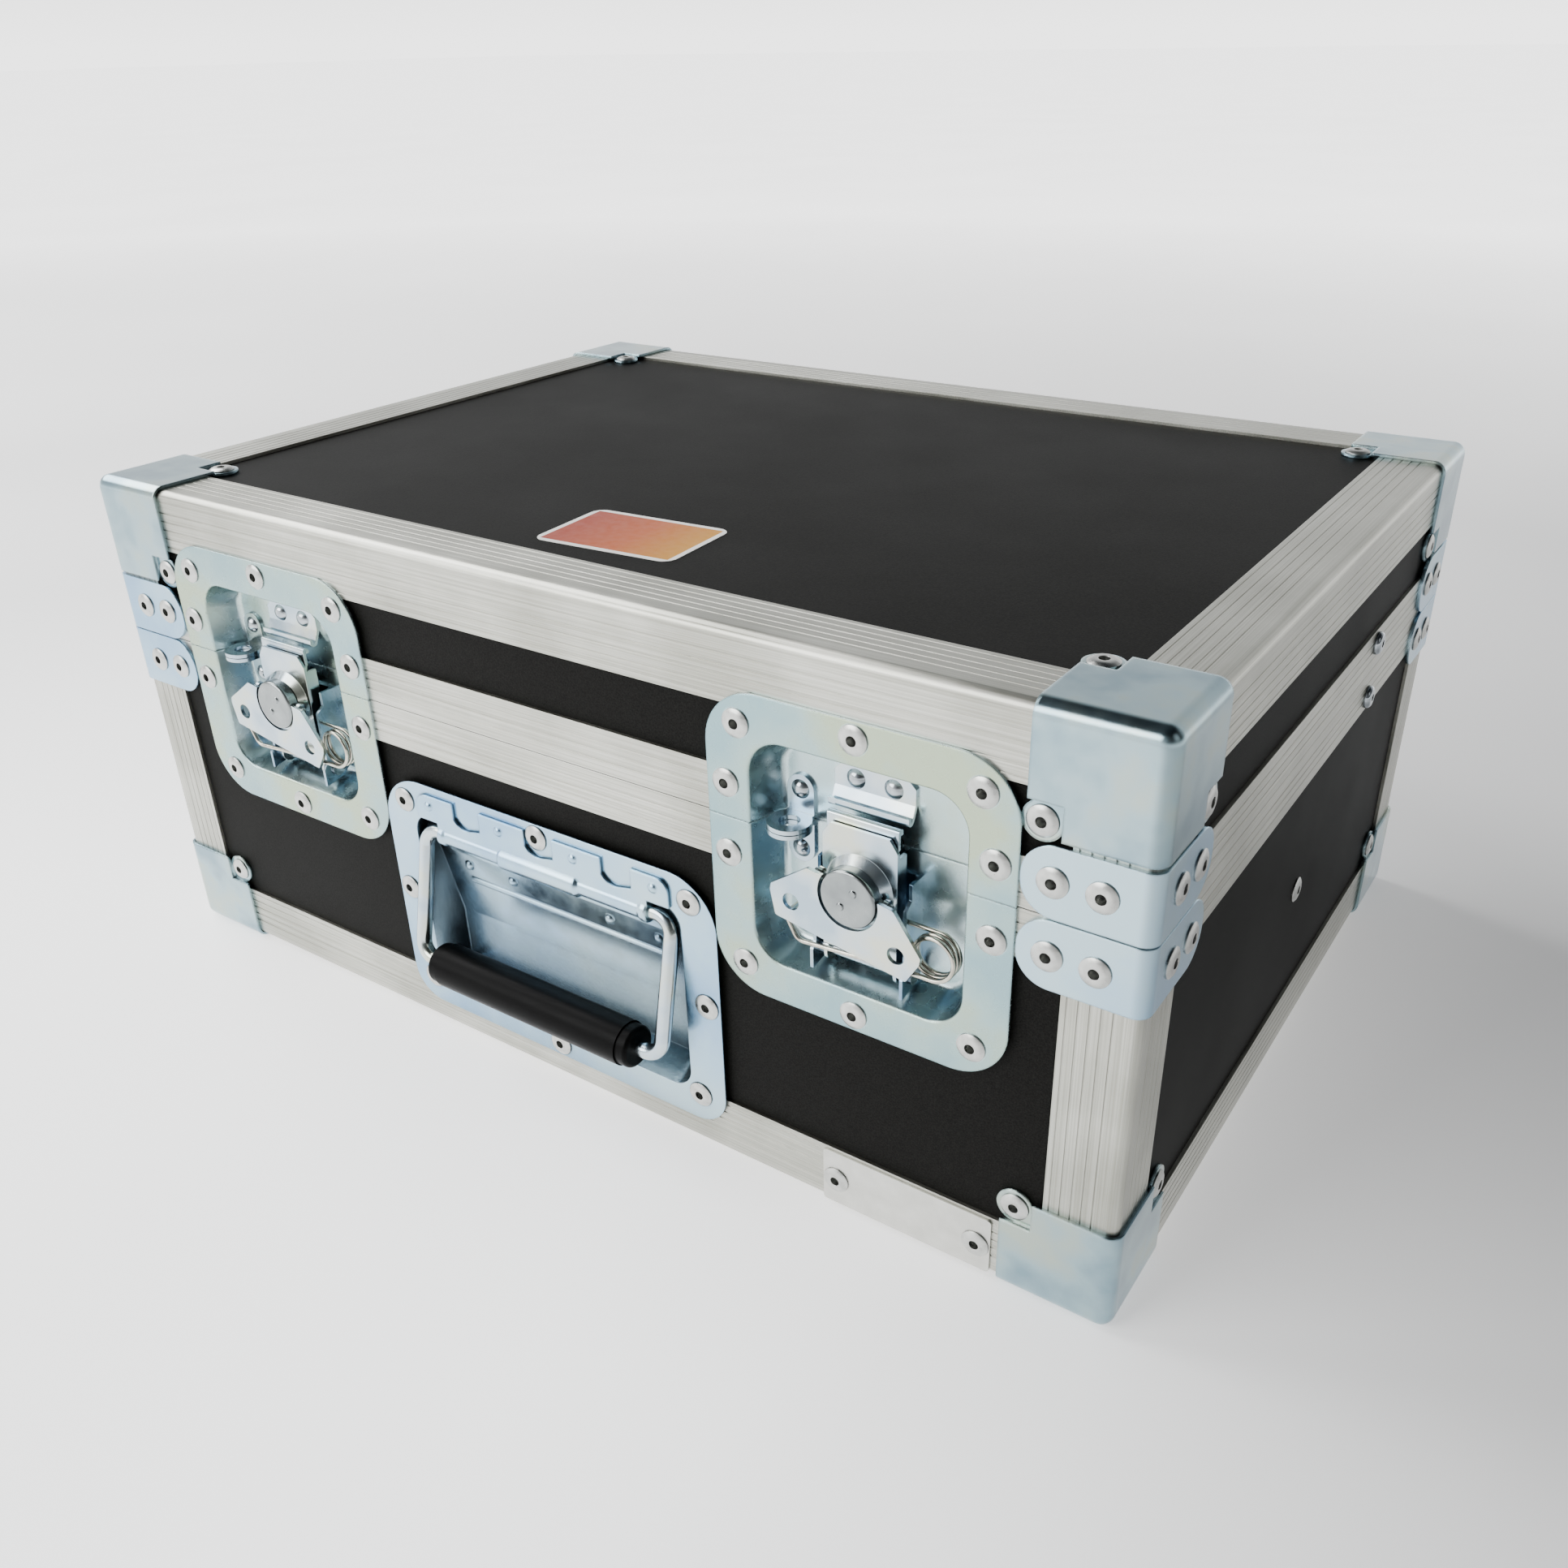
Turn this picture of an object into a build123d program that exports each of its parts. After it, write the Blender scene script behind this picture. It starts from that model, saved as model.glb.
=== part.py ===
"""A laptop and printer case: an aluminium-edged flight case with two recessed butterfly latches.

X runs to the right, Y runs back from the front face and Z is up. The origin is under the middle of the
case, level with the underside of its bottom corner caps. All sizes are in millimetres.
"""
from build123d import *
from math import asin, atan2, cos, degrees, hypot, pi, radians, sin
import os

# Case, over the faces of its edge extrusions
CASE_WIDTH = 464.0
CASE_DEPTH = 330.0
CASE_HEIGHT = 212.0
BASE_HEIGHT = 147.5
LID_GAP = 0.3

# Boards and edge extrusions
BOARD = 7.0
EDGE_LEG = 25.0
EDGE_WALL = 1.5
EDGE_ROUND = 3.5
INNER_WALL = 1.2
INNER_FLANGE = 20.0
GROOVE_WIDTH = 0.5
GROOVE_DEPTH = 0.25
GROOVE_PITCH = 3.6
FIRST_GROOVE = 8.5
EDGE_GROOVES = 5
UPRIGHT_GAP = 0.2

# Closure extrusions, where the lid meets the base
CLOSURE_LEG = 17.0
CLOSURE_INNER_LEG = 14.0
BASE_WEB = 2.5
LID_WEB = 5.5
TONGUE_HEIGHT = 3.0
TONGUE_WIDTH = 3.4
TONGUE_TIP = 2.0
TONGUE_CLEARANCE = 0.5
TONGUE_SETBACK = 16.0
CLOSURE_GROOVES = 3
FIRST_CLOSURE_GROOVE = 5.0

# Corner caps and corner braces
CAP_WALL = 1.5
CAP_LEG = 39.0
CAP_INNER_ROUND = 2.4
CAP_NOTCH = 28.0
EAR_PLACE = 34.5
EAR_RADIUS = 6.5
BRACE_HEIGHT = 23.6
BRACE_LEG = 39.6
BRACE_RIVETS = (14.7, 29.6)
BRACE_RIVET_RISE = 12.4
CAP_TO_BRACE = 0.5

# Blind rivets and dome rivets
RIVET_HEAD = 5.0
RIVET_HEAD_HEIGHT = 1.3
RIVET_SHANK = 2.4
RIVET_BORE = 1.75
RIVET_BORE_DEPTH = 2.2
RIVET_TAIL = 3.1
RIVET_TAIL_LENGTH = 1.1
DOME_RADIUS = 3.4
DOME_HEIGHT = 1.8
DOME_SHANK = 1.6

# Sheet metal of the dishes and of the small pressed pieces
SHEET = 1.2
BEND_BACK = 1.5
BEND_FRONT = 2.6

# Latch dish, measured from the middle of its plate
LATCH_OFFSET = 136.8
LATCH_HEIGHT = 137.15
LATCH_PLATE = (110.0, 111.6)
LATCH_PLATE_ROUND = 20.0
LATCH_MOUTH = (78.0, 82.0)
LATCH_MOUTH_ROUND = 13.0
LATCH_DEPTH = 12.5
LATCH_WALL_SLOPE = 18.0
LATCH_RIVETS_UP = ((-42.9, 44.7), (0.0, 49.8), (42.9, 44.7), (-47.8, 22.7), (47.8, 22.7))
LATCH_RIVETS_DOWN = ((-42.9, -44.7), (0.0, -49.8), (42.9, -44.7), (-47.8, -3.1), (47.8, -3.1))
WINDOW_MARGIN = 0.6

# Keeper on the lid's half of the dish
KEEPER_HALF = 14.5
KEEPER_TOP = 34.5
KEEPER_BEND = 26.0
KEEPER_LIP_FOOT = 20.9
KEEPER_LIP_TOP = 23.2
KEEPER_LIP_DEPTH = 7.8
KEEPER_CHAMFER = 3.0
KEEPER_RIVETS = ((-6.75, 29.7), (6.75, 29.7))

# Padlock eyes
EYE_X = -27.6
EYE_RING = 7.4
EYE_BORE = 3.5
EYE_PLATE_HALF = 5.1
EYE_THICK = 1.5
EYE_RING_DEPTH = 4.7
EYE_RISE = 20.3
EYE_DROP = -1.2
EYE_BEND = 1.4

# Bracket, carrier, hook, knob and wing of a latch
BRACKET_HALF = 17.4
BRACKET_TOP = 2.2
BRACKET_FOOT = -37.9
BRACKET_PLATE_FOOT = -33.2
BRACKET_TOE = 0.0
PIVOT_DEPTH = 6.5
PIVOT_RISE = -32.0
PIVOT_RADIUS = 2.0
PIVOT_LUG = 4.0
RUNNING = 0.06
BRACKET_RIVETS = ((-8.0, -24.0), (8.0, -24.0))
CARRIER_HALF = 13.6
CARRIER_DEPTH = 2.4
CARRIER_TOP = 17.4
CARRIER_TOP_HALF = 10.7
CARRIER_SHOULDER = 13.2
CARRIER_FOOT = -28.0
CARRIER_FLANGE_TOP = 11.0
CARRIER_FLANGE_DEPTH = 8.0
BOSS_BASE = 12.4
BOSS_TOP = 9.2
BOSS_FRONT = -0.6
HOOK_GAP = 0.5
HOOK_SIDE_GAP = 0.3
HOOK_TOP = 20.4
HOOK_FOOT = -22.0
HOOK_HEAD_HALF = 12.9
HOOK_LIFT = 4.0
HOOK_TO_LIP = 0.4
KNOB_RISE = -3.5
KNOB_TURN = -9.6
KNOB_RADIUS = 10.2
KNOB_FACE = -5.2
KNOB_REAR = -0.9
SPINDLE = 4.0
SPINDLE_HEAD = 7.0
SPINDLE_HEAD_THICK = 1.4
KNOB_PIN_RADIUS = 1.4
KNOB_PIN_OFFSET = 3.8
KNOB_PIN_ANGLE = 62.0
WING_THICK = 1.5
WING_BACK = -3.3
WING_NOTCH = 11.0
WING_TOP = 4.0
WING_TOP_HALF = 15.9
WING_TIP_HALF = 27.9
WING_TIP_TOP = -8.0
WING_TIP_FOOT = -10.5
WING_FOOT = -19.0
WING_FOOT_HALF = 24.6
WING_HOLE = 3.1
WING_HOLE_PLACE = (19.7, -11.3)
WING_PIVOT_RISE = 2.5
WING_PIVOT_DEPTH = -1.8
WING_PIVOT_RADIUS = 1.1
WING_EAR = 2.2
WING_EAR_INNER = 11.4
WING_STUB_END = 14.2

# Latch spring: one round wire with a coil of two and a half turns
SPRING_WIRE = 0.8
SPRING_COIL = 7.2
SPRING_PITCH = 2.1
SPRING_HALF_TURNS = 5
SPRING_CENTRE = (28.5, -17.5)
SPRING_FRONT = -1.6
SPRING_ANCHOR = (-25.5, -19.0)
SPRING_DIP = (-21.0, -27.6)
SPRING_RUN_IN = 14.0
SPRING_BENDS = (3.0, 4.0, 9.0)

# Handle dish, measured from the middle of its plate
HANDLE_HEIGHT = 66.0
HANDLE_HALF = 81.6
HANDLE_TOP = 51.6
HANDLE_FOOT = -54.0
HANDLE_TOP_ROUND = 20.0
HANDLE_FOOT_ROUND = 14.0
HANDLE_MOUTH_HALF = 66.0
HANDLE_MOUTH_TOP = 38.0
HANDLE_MOUTH_FOOT = -42.0
HANDLE_MOUTH_ROUND = 9.0
HANDLE_SHALLOW = 6.4
HANDLE_DEEP = 12.0
HANDLE_SLOPE = (20.0, -12.0)
HANDLE_SIDE_SLOPE = 22.0
HANDLE_FLOOR_SETBACK = 5.0
HANDLE_RIVETS = (
    (-70.2, 42.0), (70.2, 42.0), (-70.2, -42.0), (70.2, -42.0),
    (-75.6, 0.0), (75.6, 0.0), (0.0, 46.0), (0.0, -48.0),
)
HANDLE_BEAD_RISE = 7.5
HANDLE_BEAD_HALF = 49.0
HANDLE_LOW_DOMES = (-48.3, -24.7, 24.7, 48.3)
HANDLE_LOW_DOME_RISE = 14.8

# Hinge cover, bail and grip
TUNNEL_RISE = 31.5
TUNNEL_DEPTH = 0.6
TUNNEL_HALF = 52.0
TUNNEL_WIDE_HALF = 18.6
TUNNEL_RADIUS = 4.1
TUNNEL_WIDE_RADIUS = 5.2
TUNNEL_WALL = 0.9
COVER_TOP = 48.0
COVER_HALF = 62.0
COVER_FOOT = 34.2
COVER_END_FOOT = 37.2
COVER_ROUND = 5.0
SCOOP_PITCH = 37.0
SCOOP_STEP = 13.0
SCOOP_WIDTH = 14.0
SCOOP_FLOOR = 38.2
COVER_DOME = 2.4
COVER_DOME_HEIGHT = 1.2
COVER_DOME_RISE = 43.6
WIRE = 3.0
BAIL_HALF = 61.5
BAIL_REACH = 54.4
BAIL_LEAN = 13.2
BAIL_BEND = 7.0
BAIL_END = 12.0
BAIL_RUNNING = 0.08
GRIP_RADIUS = 8.75
GRIP_HALF = 51.0
GRIP_COLLAR = 5.0
GRIP_COLLAR_STEP = 0.6
GRIP_ROUND = 1.5

# Label plate, on the bottom front extrusion
LABEL_SIZE = (66.0, 23.0)
LABEL_THICK = 0.8
LABEL_PLACE = (157.0, 12.4)
LABEL_RIVETS = ((-27.6, -0.6), (27.6, -0.6))

# Butt hinges on the back
HINGE_OFFSET = 125.0
HINGE_WIDTH = 60.0
HINGE_LEAF = 32.0
HINGE_LEAF_THICK = 1.5
HINGE_AXIS = 5.0
KNUCKLE = 4.0
KNUCKLES = 5
KNUCKLE_GAP = 0.3
HINGE_PIN = 2.0
HINGE_RIVET_X = 20.0
HINGE_RIVETS_RISE = (11.5, 25.0)

# Lid stay on the right, a rhombus with the hinge axis at one corner
STAY_FROM_BACK = 104.0
STAY_RISE = 11.3
STAY_WIDTH = 12.0
STAY_THICK = 1.5
STAY_PLAY = 0.3
STAY_PIN = 2.5
STAY_OPEN_PLAY = 0.4
STAY_HEAD = 4.5
STAY_COLLAR = 4.0
SCREW_HEAD = 4.6
SCREW_HEAD_HEIGHT = 2.4
SCREW_DRIVE = 1.6

# Lining
FOAM_GAP = 0.3
WALL_FOAM = 10.0
FLOOR_FOAM = 16.5
LID_FOAM = 20.0
FOAM_TOP = 123.5
FRONT_SETBACK = 14.0
DIVIDER_FROM_FRONT = 158.5
DIVIDER_TOP = 108.0
BRACKET_WING = 20.0
BRACKET_TALL = 40.0
SIDE_RIVET = (168.5, 77.0)
DIVIDER_RIVET_X = 211.5

# Levels and faces that the sizes above fix
FLOOR_Z = CAP_WALL
TOP_Z = FLOOR_Z + CASE_HEIGHT
SPLIT_Z = FLOOR_Z + BASE_HEIGHT
SIDE_X = CASE_WIDTH / 2
GRIP_REACH = BAIL_REACH * sin(radians(BAIL_LEAN)) - TUNNEL_DEPTH + GRIP_RADIUS
BACK_REACH = HINGE_AXIS + KNUCKLE
FRONT_Y = (GRIP_REACH - BACK_REACH - CASE_DEPTH) / 2
BACK_Y = FRONT_Y + CASE_DEPTH
BOARD_BACK = EDGE_WALL + BOARD
INNER_FACE = BOARD_BACK + INNER_WALL
CLOSURE_FACE = INNER_FACE
LATCH_Z = FLOOR_Z + LATCH_HEIGHT
HANDLE_Z = FLOOR_Z + HANDLE_HEIGHT
SPLIT_RISE = SPLIT_Z - LATCH_Z
FLOOR_FRONT = LATCH_DEPTH - SHEET
CORNERS = ((-1, -1), (1, -1), (1, 1), (-1, 1))
SIDES = {"left": -1, "right": 1}

OUT_FRONT = (0, -1, 0)
OUT_BACK = (0, 1, 0)
OUT_LEFT = (-1, 0, 0)
OUT_RIGHT = (1, 0, 0)
UP = (0, 0, 1)
DOWN = (0, 0, -1)

os.makedirs("parts", exist_ok=True)


def write(builder, name):
    """Labels a finished piece and writes it."""
    builder.part.label = name
    export_step(builder.part, f"parts/{name}.step")


def block(low, high, mode=Mode.ADD):
    """Adds or cuts a box between two corners."""
    middle = tuple((a + b) / 2 for a, b in zip(low, high))
    size = tuple(b - a for a, b in zip(low, high))
    with Locations(middle):
        Box(*size, mode=mode)


def round_bar(start, direction, length, radius, mode=Mode.ADD):
    """Adds or cuts a round bar that starts at a point and runs along a direction."""
    with Locations(Plane(origin=start, z_dir=direction)):
        Cylinder(radius, length, align=(Align.CENTER, Align.CENTER, Align.MIN), mode=mode)


def front_plane(x, z, depth=0.0):
    """A plane on the front of the case, facing out, with its own x to the right and y up."""
    return Plane(origin=(x, FRONT_Y + depth, z), x_dir=(1, 0, 0), z_dir=OUT_FRONT)


def inward_plane(x, z, depth=0.0):
    """A plane on the front of the case that faces into it, with its own x to the right and y down."""
    return Plane(origin=(x, FRONT_Y + depth, z), x_dir=(1, 0, 0), z_dir=OUT_BACK)


def side_plane(x, z):
    """A plane across a piece on the front: its own x is the depth into the case, its own y is up."""
    return Plane(origin=(x, FRONT_Y, z), x_dir=(0, 1, 0), z_dir=OUT_RIGHT)


def bar(section, end_a, end_b, inward, away):
    """Extrudes a section drawn on a plane, whose x is inward and y is away, from one end to the other."""
    along = Vector(inward).cross(Vector(away))
    a, b = Vector(end_a), Vector(end_b)
    start = a if a.dot(along) < b.dot(along) else b
    face = section(Plane(origin=start, x_dir=inward, z_dir=along))
    extrude(face, amount=(b - a).length)


def edge_section(plane):
    """An edge extrusion: outer angle with grooves, inner angle, and the webs that stop the boards."""
    corner = (Align.MIN, Align.MIN)
    cell = BOARD
    with BuildSketch(plane) as section:
        Rectangle(EDGE_LEG, EDGE_WALL, align=corner)
        Rectangle(EDGE_WALL, EDGE_LEG, align=corner)
        Rectangle(INNER_FACE, INNER_FACE, align=corner)
        with Locations((EDGE_WALL, EDGE_WALL)):
            Rectangle(cell, cell, align=corner, mode=Mode.SUBTRACT)
        with Locations((BOARD_BACK, BOARD_BACK)):
            Rectangle(INNER_WALL, INNER_FLANGE - BOARD_BACK, align=corner)
            Rectangle(INNER_FLANGE - BOARD_BACK, INNER_WALL, align=corner)
        for groove in range(EDGE_GROOVES):
            place = FIRST_GROOVE + groove * GROOVE_PITCH
            with Locations((place, 0)):
                Rectangle(GROOVE_WIDTH, 2 * GROOVE_DEPTH, mode=Mode.SUBTRACT)
            with Locations((0, place)):
                Rectangle(2 * GROOVE_DEPTH, GROOVE_WIDTH, mode=Mode.SUBTRACT)
        outer = section.vertices().sort_by_distance((0, 0))[0]
        fillet(outer, EDGE_ROUND)
        inner = section.vertices().sort_by_distance((EDGE_WALL, EDGE_WALL))[0]
        fillet(inner, EDGE_ROUND - EDGE_WALL)
    return section.sketch


def closure_section(plane, web, groove):
    """A closure extrusion: grooved outer leg, web along the split and inner leg behind the board."""
    corner = (Align.MIN, Align.MIN)
    middle = CLOSURE_FACE / 2
    with BuildSketch(plane) as section:
        Rectangle(EDGE_WALL, CLOSURE_LEG, align=corner)
        Rectangle(CLOSURE_FACE, web, align=corner)
        with Locations((BOARD_BACK, 0)):
            Rectangle(INNER_WALL, CLOSURE_INNER_LEG, align=corner)
        for index in range(CLOSURE_GROOVES):
            with Locations((0, FIRST_CLOSURE_GROOVE + index * GROOVE_PITCH)):
                Rectangle(2 * GROOVE_DEPTH, GROOVE_WIDTH, mode=Mode.SUBTRACT)
        if groove:
            foot = TONGUE_WIDTH / 2 + TONGUE_CLEARANCE
            tip = TONGUE_TIP / 2 + TONGUE_CLEARANCE
            top = TONGUE_HEIGHT + TONGUE_CLEARANCE
            with BuildLine():
                Polyline(
                    (middle - foot, 0), (middle - tip, top),
                    (middle + tip, top), (middle + foot, 0), close=True,
                )
            make_face(mode=Mode.SUBTRACT)
    return section.sketch


def base_closure(plane):
    return closure_section(plane, BASE_WEB, groove=False)


def lid_closure(plane):
    return closure_section(plane, LID_WEB, groove=True)


def tongue_section(plane):
    """The tongue along the base's closure extrusion, which stands in the lid's groove."""
    middle = CLOSURE_FACE / 2
    foot, tip = TONGUE_WIDTH / 2, TONGUE_TIP / 2
    with BuildSketch(plane) as section:
        with BuildLine():
            Polyline(
                (middle - foot, 0), (middle - tip, TONGUE_HEIGHT),
                (middle + tip, TONGUE_HEIGHT), (middle + foot, 0), close=True,
            )
        make_face()
    return section.sketch


# Rivets are listed as (point on the outer surface, outward direction)

def ear_rivets(top):
    """The three ear rivets of each corner cap, on the lid or on the base."""
    level = TOP_Z if top else FLOOR_Z
    sign = -1 if top else 1
    places = []
    for sx, sy in CORNERS:
        x = sx * (SIDE_X - EAR_PLACE)
        y = FRONT_Y + EAR_PLACE if sy < 0 else BACK_Y - EAR_PLACE
        z = level + sign * EAR_PLACE
        face_y = FRONT_Y if sy < 0 else BACK_Y
        places.append(((x, face_y, z), (0, sy, 0)))
        places.append(((sx * SIDE_X, y, z), (sx, 0, 0)))
        places.append(((x, y, level), (0, 0, -sign)))
    return places


def brace_rivets(top):
    """The four rivets of each corner brace."""
    z = SPLIT_Z + (BRACE_RIVET_RISE if top else -BRACE_RIVET_RISE)
    places = []
    for sx, sy in CORNERS:
        face_y = FRONT_Y if sy < 0 else BACK_Y
        for along in BRACE_RIVETS:
            places.append(((sx * (SIDE_X - along), face_y + sy * CAP_WALL, z), (0, sy, 0)))
            places.append(((sx * (SIDE_X + CAP_WALL), face_y - sy * along, z), (sx, 0, 0)))
    return places


def front_rivets(middle_x, middle_z, offsets, thick):
    """Rivets on a plate of the front, from their offsets to its middle."""
    return [((middle_x + dx, FRONT_Y - thick, middle_z + dz), OUT_FRONT) for dx, dz in offsets]


def latch_rivets(top):
    offsets = LATCH_RIVETS_UP if top else LATCH_RIVETS_DOWN
    places = []
    for side in SIDES.values():
        places += front_rivets(side * LATCH_OFFSET, LATCH_Z, offsets, SHEET)
    return places


def hinge_rivets(top):
    sign = 1 if top else -1
    places = []
    for side in SIDES.values():
        for across in (-HINGE_RIVET_X, HINGE_RIVET_X):
            for rise in HINGE_RIVETS_RISE:
                x = side * HINGE_OFFSET + across
                places.append(((x, BACK_Y + HINGE_LEAF_THICK, SPLIT_Z + sign * rise), OUT_BACK))
    return places


HANDLE_RIVET_PLACES = front_rivets(0, HANDLE_Z, HANDLE_RIVETS, SHEET)
LABEL_RIVET_PLACES = front_rivets(LABEL_PLACE[0], FLOOR_Z + LABEL_PLACE[1], LABEL_RIVETS, LABEL_THICK)
SIDE_RIVET_PLACES = [
    ((side * (SIDE_X - EDGE_WALL), FRONT_Y + SIDE_RIVET[0], FLOOR_Z + SIDE_RIVET[1]), (side, 0, 0))
    for side in SIDES.values()
]
DIVIDER_RIVET_PLACES = [
    ((side * DIVIDER_RIVET_X, FRONT_Y + DIVIDER_FROM_FRONT + EDGE_WALL, FLOOR_Z + SIDE_RIVET[1]), OUT_BACK)
    for side in SIDES.values()
]
STAY_SCREW_Y = BACK_Y - STAY_FROM_BACK


def drill(places, depth, radius=RIVET_SHANK):
    """Cuts the rivet holes of a list, each to a depth below its rivet's seat."""
    for point, out in places:
        round_bar(point, tuple(-c for c in out), depth, radius, mode=Mode.SUBTRACT)


def drill_stay(radius=STAY_PIN):
    """Cuts the hole of the stay's screw through the right side, one in the lid and one in the base."""
    for rise in (STAY_RISE, -STAY_RISE):
        start = (SIDE_X + 1, STAY_SCREW_Y, SPLIT_Z + rise)
        round_bar(start, OUT_LEFT, CLOSURE_FACE + 2, radius, mode=Mode.SUBTRACT)


def window(middle_x, half_width, low, high):
    """Cuts the opening that a dish needs through the front of the case."""
    block(
        (middle_x - half_width, FRONT_Y - 1, low), (middle_x + half_width, FRONT_Y + CLOSURE_FACE + 1, high),
        mode=Mode.SUBTRACT,
    )


PAN_WALL = SHEET / cos(radians(LATCH_WALL_SLOPE))
LATCH_WINDOW = LATCH_MOUTH[0] / 2 + PAN_WALL + WINDOW_MARGIN
LATCH_WINDOW_RISE = LATCH_MOUTH[1] / 2 + PAN_WALL + WINDOW_MARGIN
HANDLE_WINDOW = HANDLE_MOUTH_HALF + 2 * SHEET


def latch_windows():
    for side in SIDES.values():
        window(side * LATCH_OFFSET, LATCH_WINDOW, LATCH_Z - LATCH_WINDOW_RISE, LATCH_Z + LATCH_WINDOW_RISE)


def handle_window():
    low = HANDLE_Z + HANDLE_MOUTH_FOOT - 2 * SHEET
    high = HANDLE_Z + HANDLE_MOUTH_TOP + 2 * SHEET
    window(0, HANDLE_WINDOW, low, high)


# Boards

def make_boards():
    """The ten laminated boards, each held between the two angles of the extrusions round it."""
    side_low = SIDE_X - BOARD_BACK
    side_high = SIDE_X - EDGE_WALL
    end_x = SIDE_X - INNER_FACE
    front_low, front_high = FRONT_Y + EDGE_WALL, FRONT_Y + BOARD_BACK
    back_low, back_high = BACK_Y - BOARD_BACK, BACK_Y - EDGE_WALL
    end_front, end_back = FRONT_Y + INNER_FACE, BACK_Y - INNER_FACE
    base_low, base_high = FLOOR_Z + INNER_FACE, SPLIT_Z - LID_GAP / 2 - BASE_WEB
    lid_low, lid_high = SPLIT_Z + LID_GAP / 2 + LID_WEB, TOP_Z - INNER_FACE
    halves = (("base", base_low, base_high, False), ("lid", lid_low, lid_high, True))
    for half, low, high, top in halves:
        with BuildPart() as front:
            block((-end_x, front_low, low), (end_x, front_high, high))
            latch_windows()
            if not top:
                handle_window()
                drill(HANDLE_RIVET_PLACES, SHEET + BOARD_BACK)
                drill(LABEL_RIVET_PLACES, LABEL_THICK + BOARD_BACK)
            drill(latch_rivets(top), SHEET + BOARD_BACK)
            drill(ear_rivets(top) + brace_rivets(top), CAP_WALL + BOARD_BACK)
        write(front, f"{half}_front_panel")

        with BuildPart() as back:
            block((-end_x, back_low, low), (end_x, back_high, high))
            drill(ear_rivets(top) + brace_rivets(top), CAP_WALL + BOARD_BACK)
            drill(hinge_rivets(top), HINGE_LEAF_THICK + BOARD_BACK)
        write(back, f"{half}_back_panel")

        for name, side in SIDES.items():
            near, far = sorted((side * side_low, side * side_high))
            with BuildPart() as wall:
                block((near, end_front, low), (far, end_back, high))
                drill(ear_rivets(top) + brace_rivets(top), CAP_WALL + BOARD_BACK)
                if not top:
                    drill(SIDE_RIVET_PLACES, BOARD_BACK)
                if side > 0:
                    drill_stay()
            write(wall, f"{half}_{name}_panel")

    with BuildPart() as bottom:
        block((-end_x, end_front, FLOOR_Z + EDGE_WALL), (end_x, end_back, FLOOR_Z + BOARD_BACK))
        drill(ear_rivets(False), BOARD_BACK)
    write(bottom, "base_bottom_panel")

    with BuildPart() as top_board:
        block((-end_x, end_front, TOP_Z - BOARD_BACK), (end_x, end_back, TOP_Z - EDGE_WALL))
        drill(ear_rivets(True), BOARD_BACK)
    write(top_board, "lid_top_panel")


# Edge extrusions

def make_edges():
    """The edge extrusions. Those along the front and back end inside the corner caps."""
    halves = (
        ("base", FLOOR_Z, UP, FLOOR_Z + EDGE_LEG + UPRIGHT_GAP, SPLIT_Z - LID_GAP / 2 - CLOSURE_LEG),
        ("lid", TOP_Z, DOWN, SPLIT_Z + LID_GAP / 2 + CLOSURE_LEG, TOP_Z - EDGE_LEG - UPRIGHT_GAP),
    )
    for half, level, up, low, high in halves:
        top = level > SPLIT_Z
        with BuildPart() as rails:
            for face_y, inward in ((FRONT_Y, OUT_BACK), (BACK_Y, OUT_FRONT)):
                end = SIDE_X - EDGE_ROUND
                bar(edge_section, (-end, face_y, level), (end, face_y, level), inward, up)
            for side in SIDES.values():
                x = side * SIDE_X
                inward = (-side, 0, 0)
                bar(edge_section, (x, FRONT_Y + EDGE_LEG, level), (x, BACK_Y - EDGE_LEG, level), inward, up)
            if top:
                drill(latch_rivets(True), SHEET + INNER_FACE)
            else:
                pan_foot = HANDLE_Z + HANDLE_MOUTH_FOOT - 2 * SHEET
                window(0, HANDLE_WINDOW, pan_foot, pan_foot + EDGE_LEG)
                drill(HANDLE_RIVET_PLACES, SHEET + INNER_FACE)
                drill(LABEL_RIVET_PLACES, LABEL_THICK + INNER_FACE)
            for sx, sy in CORNERS:
                y = FRONT_Y if sy < 0 else BACK_Y
                bar(edge_section, (sx * SIDE_X, y, low), (sx * SIDE_X, y, high), (-sx, 0, 0), (0, -sy, 0))
        write(rails, f"{half}_edge_profiles")


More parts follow.
